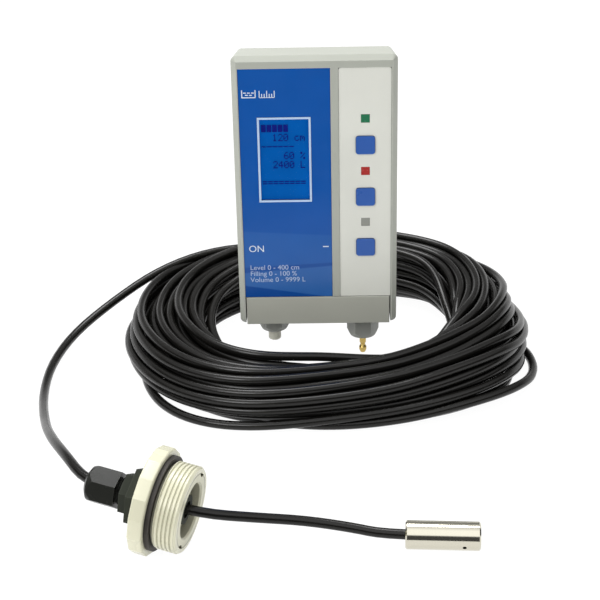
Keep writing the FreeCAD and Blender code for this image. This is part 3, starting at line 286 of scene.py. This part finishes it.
# Cells: the small printed rectangles that the panel's signs and the display's dots are made of. One
# rectangle is set on every point of a mesh, with the width and height that the point carries.
cell_tree = bpy.data.node_groups.new("cells", "GeometryNodeTree")
cell_inputs = {}
for label, kind in (("Points", "Geometry"), ("Fill", "Float"), ("Finish", "Material")):
    socket = cell_tree.interface.new_socket(label, in_out="INPUT", socket_type=f"NodeSocket{kind}")
    cell_inputs[label] = socket.identifier
cell_tree.interface.new_socket("Cells", in_out="OUTPUT", socket_type="NodeSocketGeometry")
cells_in = put(cell_tree, "NodeGroupInput")
leaf = put(cell_tree, "GeometryNodeMeshGrid", {"Size X": cells_in.outputs["Fill"],
                                               "Size Y": cells_in.outputs["Fill"],
                                               "Vertices X": 2, "Vertices Y": 2})
upright_leaf = put(cell_tree, "GeometryNodeTransform", {"Geometry": leaf.outputs["Mesh"],
                                                        "Rotation": (math.pi / 2, 0, 0)})
own_size = put(cell_tree, "GeometryNodeInputNamedAttribute", {"Name": "cell_size"},
               data_type="FLOAT_VECTOR")
spread_out = put(cell_tree, "GeometryNodeInstanceOnPoints", {"Points": cells_in.outputs["Points"],
                                                             "Instance": upright_leaf.outputs["Geometry"],
                                                             "Scale": own_size.outputs["Attribute"]})
solid_cells = put(cell_tree, "GeometryNodeRealizeInstances", {"Geometry": spread_out.outputs["Instances"]})
inked_cells = put(cell_tree, "GeometryNodeSetMaterial", {"Geometry": solid_cells.outputs["Geometry"],
                                                         "Material": cells_in.outputs["Finish"]})
put(cell_tree, "NodeGroupOutput", {"Cells": inked_cells.outputs["Geometry"]})


def cells(name, blocks, face, fill, material):
    """Rectangles on a face, from blocks of middle x, middle z, width and height in millimetres."""
    seeds = bpy.data.meshes.new(f"{name}_seeds")
    seeds.from_pydata([(x / 1000, face, z / 1000) for x, z, _, _ in blocks], [], [])
    sizes = seeds.attributes.new("cell_size", "FLOAT_VECTOR", "POINT")
    for item, (_, _, width, height) in zip(sizes.data, blocks):
        item.vector = (width / 1000, 1, height / 1000)
    holder = bpy.data.objects.new(f"{name}_seeds", seeds)
    bpy.context.collection.objects.link(holder)
    spreader = holder.modifiers.new("cells", "NODES")
    spreader.node_group = cell_tree
    spreader[cell_inputs["Fill"]] = fill
    spreader[cell_inputs["Finish"]] = material
    bpy.context.view_layer.update()
    mesh = bpy.data.meshes.new_from_object(holder.evaluated_get(bpy.context.evaluated_depsgraph_get()))
    bpy.data.objects.remove(holder)
    piece = bpy.data.objects.new(name, mesh)
    bpy.context.collection.objects.link(piece)
    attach(piece, "gauge")


# Tank sign with a level in it, a ruler beside it, and the dash at the lowest key: white ink printed on
# the blue film, each bar given by its middle, width and height in millimetres.
signs = [(-24.0, 188.8, 0.6, 4.9), (-16.0, 188.8, 0.6, 4.9), (-20.0, 186.6, 8.0, 0.6),
         (25.0, 88.7, 3.6, 0.7)]
signs += [(-22.4 + 2.4 * index, 189.5, 1.7, 0.6) for index in range(3)]
signs += [(-21.2 + 2.4 * index, 188.1, 1.7, 0.6) for index in range(2)]
signs += [(-13.6 + 1.5 * index, 188.55 if index % 3 == 0 else 187.6, 0.5, 4.4 if index % 3 == 0 else 2.5)
          for index in range(7)]
signs += [(-9.1, 186.5, 9.5, 0.4)]
cells("panel_signs", signs, FILM_FACE - INK_LIFT, 1.0, ink)

# Display: a blue dot-matrix module behind a clear pane, in a raised white frame. Its readout is made of
# dots, five by seven to a sign: bar cells, a level, dashes, a filling and a volume.
frame_white = moulded("screen_frame_white", (192, 215, 246), roughness=0.35)
frame_tree = frame_white.node_tree
frame_coords = put(frame_tree, "ShaderNodeTexCoord")
frame_places = put(frame_tree, "ShaderNodeSeparateXYZ", {"Vector": frame_coords.outputs["Object"]})
frame_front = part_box("screen_frame")[0].y
WHITE_DEPTH, BLUE_DEPTH = 0.0003, 0.0006
inside = put(frame_tree, "ShaderNodeMapRange", {"Value": frame_places.outputs["Y"],
                                                "From Min": frame_front + WHITE_DEPTH,
                                                "From Max": frame_front + BLUE_DEPTH,
                                                "To Min": 0.0, "To Max": 1.0})
frame_shader = frame_tree.nodes["Principled BSDF"]
frame_skin = frame_shader.inputs["Base Color"].links[0].from_socket
two_tone = put(frame_tree, "ShaderNodeMixRGB", {"Fac": inside.outputs["Result"], "Color1": frame_skin,
                                                "Color2": paint(0, 66, 150)})
frame_tree.links.new(two_tone.outputs["Color"], frame_shader.inputs["Base Color"])
dress(frame_white, "screen_frame")
module = bpy.data.materials.new("screen_blue")
module.use_nodes = True
module_tree = module.node_tree
module_shader = module_tree.nodes["Principled BSDF"]
glow = shaded(module_tree, paint(0, 92, 178), speckle(module_tree, 30, 2, 0.9, 1.06))
module_tree.links.new(glow, module_shader.inputs["Base Color"])
module_tree.links.new(glow, module_shader.inputs["Emission Color"])
module_shader.inputs["Emission Strength"].default_value = 0.46
module_shader.inputs["Specular IOR Level"].default_value = 0.05
module_tree.links.new(speckle(module_tree, 4000, 1, 0.3, 0.5), module_shader.inputs["Roughness"])
dress(module, "screen_module")

SIGNS = {"0": "0E 11 13 15 19 11 0E", "1": "04 0C 04 04 04 04 0E", "2": "0E 11 01 02 04 08 1F",
         "4": "02 06 0A 12 1F 02 02", "6": "06 08 10 1E 11 11 0E", "c": "00 00 0E 10 10 11 0E",
         "m": "00 00 1A 15 15 11 11", "L": "10 10 10 10 10 10 1F", "%": "18 19 02 04 08 13 03",
         "-": "00 00 00 1F 00 00 00", "#": "1F 1F 1F 1F 1F 1F 1F", "=": "00 00 1F 00 1F 00 00"}
DOT_WIDTH, DOT_HEIGHT, SIGN_PITCH, LINE_PITCH = 0.57, 0.67, 3.35, 5.85
READOUT_LEFT, READOUT_TOP = -12.9, 168.6
dots = []
for row, words in enumerate(("#####", "  120 cm", "------", "    60 %", "  2400 L", "", "========")):
    for column, sign in enumerate(words):
        for down, line in enumerate(SIGNS.get(sign, "").split()):
            dots += [(READOUT_LEFT + SIGN_PITCH * column + DOT_WIDTH * across,
                      READOUT_TOP - LINE_PITCH * row - DOT_HEIGHT * down, DOT_WIDTH, DOT_HEIGHT)
                     for across in range(5) if int(line, 16) >> (4 - across) & 1]
readout = moulded("readout_indigo", (26, 48, 205), roughness=0.5, grain=4000, depth=0.00001,
                  rubbed=(22, 44, 180), gloss=0.08)

pane = bpy.data.materials.new("screen_clear")
pane.use_nodes = True
pane_tree = pane.node_tree
pane_shader = pane_tree.nodes["Principled BSDF"]
pane_shader.inputs["Specular IOR Level"].default_value = 0.25
pane_tree.links.new(shaded(pane_tree, paint(24, 40, 70), speckle(pane_tree, 60, 3, 0.9, 1.0)),
                    pane_shader.inputs["Base Color"])
pane_tree.links.new(speckle(pane_tree, 45, 3, 0.03, 0.06), pane_shader.inputs["Alpha"])
pane_tree.links.new(speckle(pane_tree, 120, 3, 0.04, 0.12), pane_shader.inputs["Roughness"])
low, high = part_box("screen_glass")
PANE_THICKNESS, SHEET_THICKNESS, PANE_EDGE = 0.0010, 0.0004, 0.00015


def sheet(name, front, thickness, material):
    """Sheet as large as the display's window, with its edges broken."""
    slab = bmesh.new()
    bmesh.ops.create_cube(slab, size=1.0)
    for corner in slab.verts:
        corner.co = ((low.x + high.x) / 2 + corner.co.x * (high.x - low.x),
                     front + thickness * (0.5 + corner.co.y),
                     (low.z + high.z) / 2 + corner.co.z * (high.z - low.z))
    bmesh.ops.bevel(slab, geom=slab.edges, offset=PANE_EDGE, segments=2, affect="EDGES", profile=0.5)
    mesh = bpy.data.meshes.new(name)
    slab.to_mesh(mesh)
    slab.free()
    mesh.materials.append(material)
    piece = bpy.data.objects.new(name, mesh)
    bpy.context.collection.objects.link(piece)
    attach(piece, "gauge")
    return piece


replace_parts(sheet("clear_pane", low.y, PANE_THICKNESS, pane), "screen_glass")
sheet("screen_sheet", low.y + PANE_THICKNESS, SHEET_THICKNESS, module)
cells("readout", dots, low.y + PANE_THICKNESS - 2 * INK_LIFT, 1.0, readout)

# Keys and lamps: three blue moulded caps that press on the board's switches, and a square light guide
# of tinted plastic above each of them.
dress(moulded("key_blue", (46, 96, 180), roughness=0.3, grain=1800), "key_upper", "key_middle", "key_lower")
lamp_colours = {"lamp_green": (42, 122, 84), "lamp_red": (180, 48, 44), "lamp_grey": (152, 154, 146)}
for lamp, colour in lamp_colours.items():
    dress(moulded(lamp, colour, roughness=0.25), lamp)

# Tank screw fitting: a cream plug with a sixteen-sided flange and a pipe thread, an insert ring in its
# bore, and a black hose gland through its web.
FITTING = Vector((-0.0638, -0.1157, 0.0285925))
TURN, DIP = math.radians(16.5), math.radians(8.0)
AXIS = Vector((math.cos(DIP) * math.cos(TURN), -math.cos(DIP) * math.sin(TURN), -math.sin(DIP)))
SIDE = Vector((math.sin(TURN), math.cos(TURN), 0.0))
PITCH = 0.002309
CREST, ROOT = 0.0239, 0.0232
THREAD_START, THREAD_END = 0.0036, 0.0168
CHAMFER, RUN_OUT = 0.0012, 0.0006
SEAL_GROOVE, BORE, WEB_FACE = 0.0223, 0.0206, -0.004
FLANGE_FLAT, FLANGE_SIDES, FLANGE_EDGE = 0.02897, 16, 0.0009
FLANGE_BACK = -0.008
GLAND_HOLE = 0.00815
angles = np.linspace(0, 2 * np.pi, 192, endpoint=False)


def polygon_radius(flat, sides, rounding):
    """Radius round a polygon whose corners are rounded off to a share of the circle."""
    step = 2 * np.pi / sides
    off = (angles + np.pi / 2 + step / 2) % step - step / 2
    sharp = flat / np.cos(off)
    return np.minimum(sharp, flat * (1 + rounding * (1 / np.cos(step / 2) - 1)))


def thread_radius(station):
    """Radius round the screw at one station, with run-outs at both ends."""
    phase = (station / PITCH - angles / (2 * np.pi)) % 1.0
    ridge = np.clip(2.1 - 4.9 * np.abs(phase - 0.5), 0, 1)
    run_out = min(1.0, max(0.0, (station - THREAD_START) / RUN_OUT))
    radius = ROOT + (CREST - ROOT) * ridge * run_out
    return np.minimum(radius, CREST - CHAMFER + max(0.0, THREAD_END - station))


rim = polygon_radius(FLANGE_FLAT, FLANGE_SIDES, 0.97)
rows = [(FLANGE_BACK, np.full_like(angles, GLAND_HOLE)), (FLANGE_BACK, rim - FLANGE_EDGE)]
edge_leans = np.radians(np.linspace(0, 90, 9))
for lean in edge_leans[1:]:
    rows.append((FLANGE_BACK + FLANGE_EDGE * (1 - np.cos(lean)), rim - FLANGE_EDGE * (1 - np.sin(lean))))
for lean in edge_leans[::-1]:
    rows.append((-FLANGE_EDGE * (1 - np.cos(lean)), rim - FLANGE_EDGE * (1 - np.sin(lean))))
groove = np.full_like(angles, SEAL_GROOVE)
rows.append((0.0, groove))
for station in np.linspace(0.0, THREAD_END, 110)[1:]:
    rows.append((station, thread_radius(station) if station > THREAD_START else groove))
rows += [(THREAD_END, np.full_like(angles, BORE)), (WEB_FACE, np.full_like(angles, BORE)),
         (WEB_FACE, np.full_like(angles, GLAND_HOLE))]


def lathed(name, rows, origin, axis, side, material):
    """Closed shape of revolution from rows of station and radius."""
    mesh = bmesh.new()
    rings = []
    for station, radii in rows:
        ring = []
        for angle, radius in zip(angles, radii):
            out = axis.cross(side) * math.sin(angle) - side * math.cos(angle)
            ring.append(mesh.verts.new(origin + axis * float(station) + out * float(radius)))
        rings.append(ring)
    for ring, after in zip(rings, rings[1:] + rings[:1]):
        for index in range(len(ring)):
            following = (index + 1) % len(ring)
            mesh.faces.new((ring[index], ring[following], after[following], after[index]))
    bmesh.ops.recalc_face_normals(mesh, faces=mesh.faces)
    data = bpy.data.meshes.new(name)
    mesh.to_mesh(data)
    mesh.free()
    for face in data.polygons:
        face.use_smooth = True
    data.set_sharp_from_angle(angle=math.radians(16))
    data.materials.append(material)
    piece = bpy.data.objects.new(name, data)
    bpy.context.collection.objects.link(piece)
    return piece


cream = moulded("fitting_cream", (231, 229, 202), roughness=0.26, grain=1400)
plug = lathed("threaded_plug", rows, FITTING, AXIS, SIDE, cream)
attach(plug, "gauge")
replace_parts(plug, "tank_plug")
# Painted shade: the insert's long crevice reach paints its bore dark, as if the bore lay in shadow.
insert_cream = moulded("insert_cream", (228, 226, 200), roughness=0.4, grain=1400, crevice=0.014)
insert_tree = insert_cream.node_tree
insert_coords = put(insert_tree, "ShaderNodeTexCoord")
from_middle = put(insert_tree, "ShaderNodeVectorMath", {0: insert_coords.outputs["Object"], 1: FITTING},
                  operation="SUBTRACT")
across_axis = put(insert_tree, "ShaderNodeVectorMath", {0: from_middle.outputs[0], 1: AXIS},
                  operation="CROSS_PRODUCT")
off_axis = put(insert_tree, "ShaderNodeVectorMath", {0: across_axis.outputs[0]}, operation="LENGTH")
SEAM_INNER, SEAM_OUTER = 0.0195, 0.0199
seam = put(insert_tree, "ShaderNodeMapRange", {"Value": off_axis.outputs["Value"], "From Min": SEAM_INNER,
                                               "From Max": SEAM_OUTER, "To Min": 0.0, "To Max": 0.6})
insert_shader = insert_tree.nodes["Principled BSDF"]
insert_skin = insert_shader.inputs["Base Color"].links[0].from_socket
seam_shade = put(insert_tree, "ShaderNodeMixRGB", {"Fac": seam.outputs["Result"], "Color1": insert_skin,
                                                   "Color2": paint(112, 110, 90)})
insert_tree.links.new(seam_shade.outputs["Color"], insert_shader.inputs["Base Color"])
dress(insert_cream, "plug_insert")
gland_black = moulded("gland_black", (38, 39, 36), roughness=0.26, grain=1600, depth=0.00002, gloss=0.14)
gland_matt = moulded("gland_matt", (54, 57, 50), roughness=0.6, grain=1600, depth=0.00002, gloss=0.06)
dress(gland_matt, "hose_gland_body", "hose_gland_locknut")
dress(gland_black, "hose_gland_nut")
NECK_START, NECK_END = -0.0243, -0.0208
NECK_CORE, NECK_MEAN, NECK_RIDGE, NECK_PITCH = 0.0068, 0.0073, 0.00035, 0.0012
neck_rows = [(NECK_START, np.full_like(angles, NECK_CORE))]
for station in np.linspace(NECK_START, NECK_END, 24):
    ridge = NECK_RIDGE * math.cos(2 * math.pi * station / NECK_PITCH)
    neck_rows.append((station, np.full_like(angles, NECK_MEAN + ridge)))
neck_rows.append((NECK_END, np.full_like(angles, NECK_CORE)))
neck_thread = lathed("neck_thread", neck_rows, FITTING, AXIS, SIDE, gland_black)
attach(neck_thread, "gauge")

# Probe: a turned and polished stainless steel tube, drilled near its end and closed by a cap. It hangs
# on the hose as a weight.
dress(metal("probe_steel", (212, 208, 192), 0.12, 9000, "x"), "probe_body", "probe_cap")

# Hose: black polyamide tube, about six millimetres thick, from the probe through the fitting to a loose
# coil of thirty-eight turns that lies on the surface. The turns cross where nothing ties them.
HOSE = 5.8
route = [(75.5, -118.1, 7.8), (53.5, -116.8, 7.8), (38.0, -112.8, 9.3), (12.0, -110.2, 12.5),
         (-14.5, -114.5, 17.6), (-42.9, -121.9, 25.5), (-76.15, -112.05, 30.4), (-105.5, -103.35, 34.7),
         (-120.0, -77.0, 35.0), (-133.2, -45.6, 27.0), (-144.5, -5.5, 13.0), (-154.5, 43.6, 3.8),
         (-155.5, 85.6, 3.8), (-145.5, 125.6, 6.5), (-121.0, 153.0, 17.0), (-93.0, 176.0, 28.0),
         (-62.0, 197.0, 32.0), (-28.0, 209.0, 31.5)]
TURNS, STATIONS = 38, 40
COIL_MIDDLE = (28.0, 114.0)
COIL_REACH = (106.0, 92.0)
shares = np.arange(STATIONS) / STATIONS
bearings = np.radians(75.0) - 2 * np.pi * shares
rng = np.random.default_rng(7)


def around(front, left, back, right):
    """Value round the coil, from its value on four sides."""
    across, along = np.cos(bearings), np.sin(bearings)
    weights = np.clip([-along, -across, along, across], 0, 1) ** 2
    return np.array([front, left, back, right]) @ weights


def lump(bearing, breadth):
    """Smooth hump round one bearing, in degrees."""
    off = (np.degrees(bearings) - bearing + 180) % 360 - 180
    return np.exp(-(off / breadth) ** 2)


half_width = around(20.8, 23.5, 20.5, 21.5) + 3.0 * lump(318, 28) - HOSE / 2
height = around(32, 33, 39, 35)
spread = around(1.8, 2.5, 0.0, 4.0)
bulge = (6.0 * lump(231, 24) + 2.5 * lump(318, 32) - 3.0 * lump(10, 28) - 3.8 * lump(270, 30)
         + 2.0 * lump(180, 30) + 6.0 * lump(46, 22) + 4.0 * lump(148, 20))
twist = np.radians(np.interp(shares, (0.0, 0.08, 0.16, 0.24, 0.31, 0.36, 0.44, 0.52, 0.62, 0.80, 1.0),
                             (0, -5, -28, -68, -100, -104, -84, -60, -46, -28, 0)))

# Places of the turns in the coil's section, column by column from the outside in.
places = []
for row, count in enumerate((5, 6, 8, 8, 6, 5)):
    places += [((index - (count - 1) / 2) / 3 * 0.95, row / 2.5 - 1) for index in range(count)]
columns = {}
for place in places:
    columns.setdefault(round((place[0] + 1) * 2.6), []).append(place)
places = []
for number, key in enumerate(sorted(columns, reverse=True)):
    places += sorted(columns[key], key=lambda place: place[1], reverse=number % 2 == 0)
places = np.array(places)

STEP_START = 0.86
step_over = np.clip((shares - STEP_START) / (1 - STEP_START), 0, 1)
step_over = step_over * step_over * (3 - 2 * step_over)
after = np.vstack([places[1:], places[-1:]])
sideways = places[:, :1] * (1 - step_over) + after[:, :1] * step_over
upwards = places[:, 1:] * (1 - step_over) + after[:, 1:] * step_over
outer = sideways * np.cos(twist) + upwards * np.sin(twist)
upper = upwards * np.cos(twist) - sideways * np.sin(twist)
squareness = (np.abs(outer) ** 4 + np.abs(upper) ** 4) ** 0.25 / (np.hypot(outer, upper) + 1e-9)
out = outer / squareness * half_width - upper / squareness * spread + bulge
rise = height / 2 + upper / squareness * (height / 2 - HOSE / 2)


def unevenness(size):
    """Slow seeded waves along the whole hose."""
    length = np.arange(TURNS)[:, None] + shares
    waves = [np.sin(2 * np.pi * (rng.uniform(0.35, 1.9) * length + rng.uniform())) * rng.normal()
             for _ in range(14)]
    return np.sum(waves, axis=0) / math.sqrt(7) * size


out += unevenness(1.8)
rise += unevenness(1.2)

# Two turns that lie loose of the rest, low on the left and on the right.
for bearing, breadth, stray in ((222, 30, 12.0), (-20, 25, 6.0)):
    hump = lump(bearing, breadth)
    station = np.argmax(hump)
    loose = np.argmax(out[:, station] - 1.2 * rise[:, station])
    out[loose] += stray * hump
    rise[loose] -= 4.0 * hump


def eased(line):
    """Line with its kinks smoothed a little along the hose."""
    line = line.ravel().copy()
    line[1:-1] += 0.25 * (0.5 * (line[:-2] + line[2:]) - line[1:-1])
    return line.reshape(TURNS, STATIONS)


# The turns settle: they push each other apart to a diameter, sink and straighten.
aim_out, aim_rise = out.copy(), rise.copy()
SETTLING_STEPS, SINK = 260, 0.02
for _ in range(SETTLING_STEPS):
    apart_out = out[:, None] - out[None]
    apart_rise = rise[:, None] - rise[None]
    apart = np.hypot(apart_out, apart_rise) + 1e-9
    push = 0.4 * np.clip(1.03 * HOSE - apart, 0, None) / apart
    out, rise = out + (push * apart_out).sum(1), rise + (push * apart_rise).sum(1) - SINK
    out = aim_out + 0.99 * eased(out - aim_out)
    rise = np.maximum(aim_rise + 0.99 * eased(rise - aim_rise), HOSE / 2)

middle = np.stack([COIL_MIDDLE[0] + COIL_REACH[0] * np.cos(bearings),
                   COIL_MIDDLE[1] + COIL_REACH[1] * np.sin(bearings)], 1)
facing = np.stack([np.cos(bearings) / COIL_REACH[0], np.sin(bearings) / COIL_REACH[1]], 1)
facing /= np.linalg.norm(facing, axis=1)[:, None]
coil = np.concatenate([middle + out[:, :, None] * facing, rise[:, :, None]], 2).reshape(-1, 3)

metres = np.vstack([np.array(route), coil]) / 1000
line = bpy.data.curves.new("air_hose", "CURVE")
line.dimensions = "3D"
spline = line.splines.new("NURBS")
spline.points.add(len(metres) - 1)
for spot, place in zip(spline.points, metres):
    spot.co = (*place, 1.0)
spline.order_u = 3
spline.use_endpoint_u = True
spline.resolution_u = 4
line.bevel_depth = HOSE / 2000
line.bevel_resolution = 3
line.use_fill_caps = True
hose = bpy.data.objects.new("air_hose", line)
bpy.context.collection.objects.link(hose)
line.materials.append(moulded("hose_polyamide", (20, 19, 17), roughness=0.24, grain=900, depth=0.00002,
                              reach=0.0, gloss=0.32))
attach(hose, "gauge")
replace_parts(hose, "hose_run", "hose_coil")

# Stage: a white floor that keeps the shadows, a studio sky that shows as white, soft lamps above and in
# front, and the camera where the photograph was taken from.
FLOOR_REACH, FLOOR_FRONT = 4, -0.19
floor_mesh = bpy.data.meshes.new("floor")
floor_corners = [(-FLOOR_REACH, FLOOR_FRONT, 0), (FLOOR_REACH, FLOOR_FRONT, 0),
                 (FLOOR_REACH, FLOOR_REACH, 0), (-FLOOR_REACH, FLOOR_REACH, 0)]
floor_mesh.from_pydata(floor_corners, [], [(0, 1, 2, 3)])
floor = bpy.data.objects.new("floor", floor_mesh)
bpy.context.collection.objects.link(floor)
floor_paint = bpy.data.materials.new("floor_white")
floor_paint.use_nodes = True
floor_tree = floor_paint.node_tree
floor_shader = floor_tree.nodes["Principled BSDF"]
floor_shader.inputs["Base Color"].default_value = (0.9, 0.9, 0.9, 1.0)
floor_shader.inputs["Roughness"].default_value = 0.9
rays = put(floor_tree, "ShaderNodeLightPath")
seen = put(floor_tree, "ShaderNodeMath", {0: rays.outputs["Is Camera Ray"],
                                          1: rays.outputs["Is Glossy Ray"]}, operation="MAXIMUM")
share = put(floor_tree, "ShaderNodeMath", {0: seen.outputs[0], 1: 0.88}, operation="MULTIPLY")
white = put(floor_tree, "ShaderNodeEmission", {"Color": (1, 1, 1, 1), "Strength": 1.1})
blend = put(floor_tree, "ShaderNodeMixShader", {0: share.outputs[0], 1: floor_shader.outputs[0],
                                                2: white.outputs[0]})
floor_tree.links.new(blend.outputs[0], floor_tree.nodes["Material Output"].inputs["Surface"])
floor_mesh.materials.append(floor_paint)

world = bpy.data.worlds.new("studio")
bpy.context.scene.world = world
world.use_nodes = True
sky = world.node_tree
rays = put(sky, "ShaderNodeLightPath")
seen = put(sky, "ShaderNodeMath", {0: rays.outputs["Is Camera Ray"],
                                   1: rays.outputs["Is Transmission Ray"]}, operation="MAXIMUM")
ways = put(sky, "ShaderNodeSeparateXYZ", {"Vector": put(sky, "ShaderNodeTexCoord").outputs["Generated"]})
panels = put(sky, "ShaderNodeMapRange", {"Value": ways.outputs["Y"], "From Min": -0.3, "From Max": 0.5,
                                         "To Min": 1.5, "To Max": 0.42})
ceiling = put(sky, "ShaderNodeMapRange", {"Value": ways.outputs["Z"], "From Min": 0.44, "From Max": 0.56,
                                          "To Min": 0.07, "To Max": panels.outputs["Result"]})
backdrop = put(sky, "ShaderNodeMapRange", {"Value": ways.outputs["Y"], "From Min": 0.35, "From Max": 0.6,
                                           "To Min": 0.0, "To Max": 1.0})
sweep = put(sky, "ShaderNodeMapRange", {"Value": ways.outputs["Z"], "From Min": 0.22, "From Max": 0.4,
                                        "To Min": 1.0, "To Max": 0.0})
behind = put(sky, "ShaderNodeMath", {0: backdrop.outputs["Result"], 1: sweep.outputs["Result"]},
             operation="MULTIPLY")
mirrored = put(sky, "ShaderNodeMath", {0: ceiling.outputs["Result"], 1: behind.outputs[0]},
               operation="MAXIMUM")
plain = put(sky, "ShaderNodeMapRange", {"Value": seen.outputs[0], "To Min": 0.58, "To Max": 1.0})
level = put(sky, "ShaderNodeMixRGB", {"Fac": rays.outputs["Is Glossy Ray"],
                                      "Color1": plain.outputs["Result"], "Color2": mirrored.outputs[0]})
sky.links.new(level.outputs["Color"], sky.nodes["Background"].inputs["Strength"])
sky.nodes["Background"].inputs["Color"].default_value = (1, 1, 1, 1)


def softbox(name, place, target, size, power):
    """Square lamp at a place, turned to a target."""
    lamp = bpy.data.lights.new(name, "AREA")
    lamp.size = size
    lamp.energy = power
    holder = bpy.data.objects.new(name, lamp)
    holder.location = place
    holder.rotation_euler = (Vector(target) - Vector(place)).to_track_quat("-Z", "Y").to_euler()
    bpy.context.collection.objects.link(holder)


softbox("top_light", (-0.2, 0.6, 1.5), (0, 0.05, 0), 0.8, 18)
softbox("front_light", (-1.0, -1.2, 1.1), (0, 0, 0.08), 0.7, 12)

camera = bpy.data.cameras.new("camera")
camera.lens = 94.58
camera.sensor_width = 36
viewer = bpy.data.objects.new("camera", camera)
bpy.context.collection.objects.link(viewer)
CAMERA_PLACE = (0.0258, -0.8183, 0.4917)
LOOK_LEFT, LOOK_DOWN, LEAN = math.radians(1.130), math.radians(26.117), math.radians(-1.250)
viewer.matrix_world = (Matrix.Translation(CAMERA_PLACE) @ Matrix.Rotation(LOOK_LEFT, 4, "Z")
                       @ Matrix.Rotation(math.pi / 2 - LOOK_DOWN, 4, "X") @ Matrix.Rotation(LEAN, 4, "Z"))
bpy.context.scene.camera = viewer
bpy.context.scene.view_settings.view_transform = "Standard"
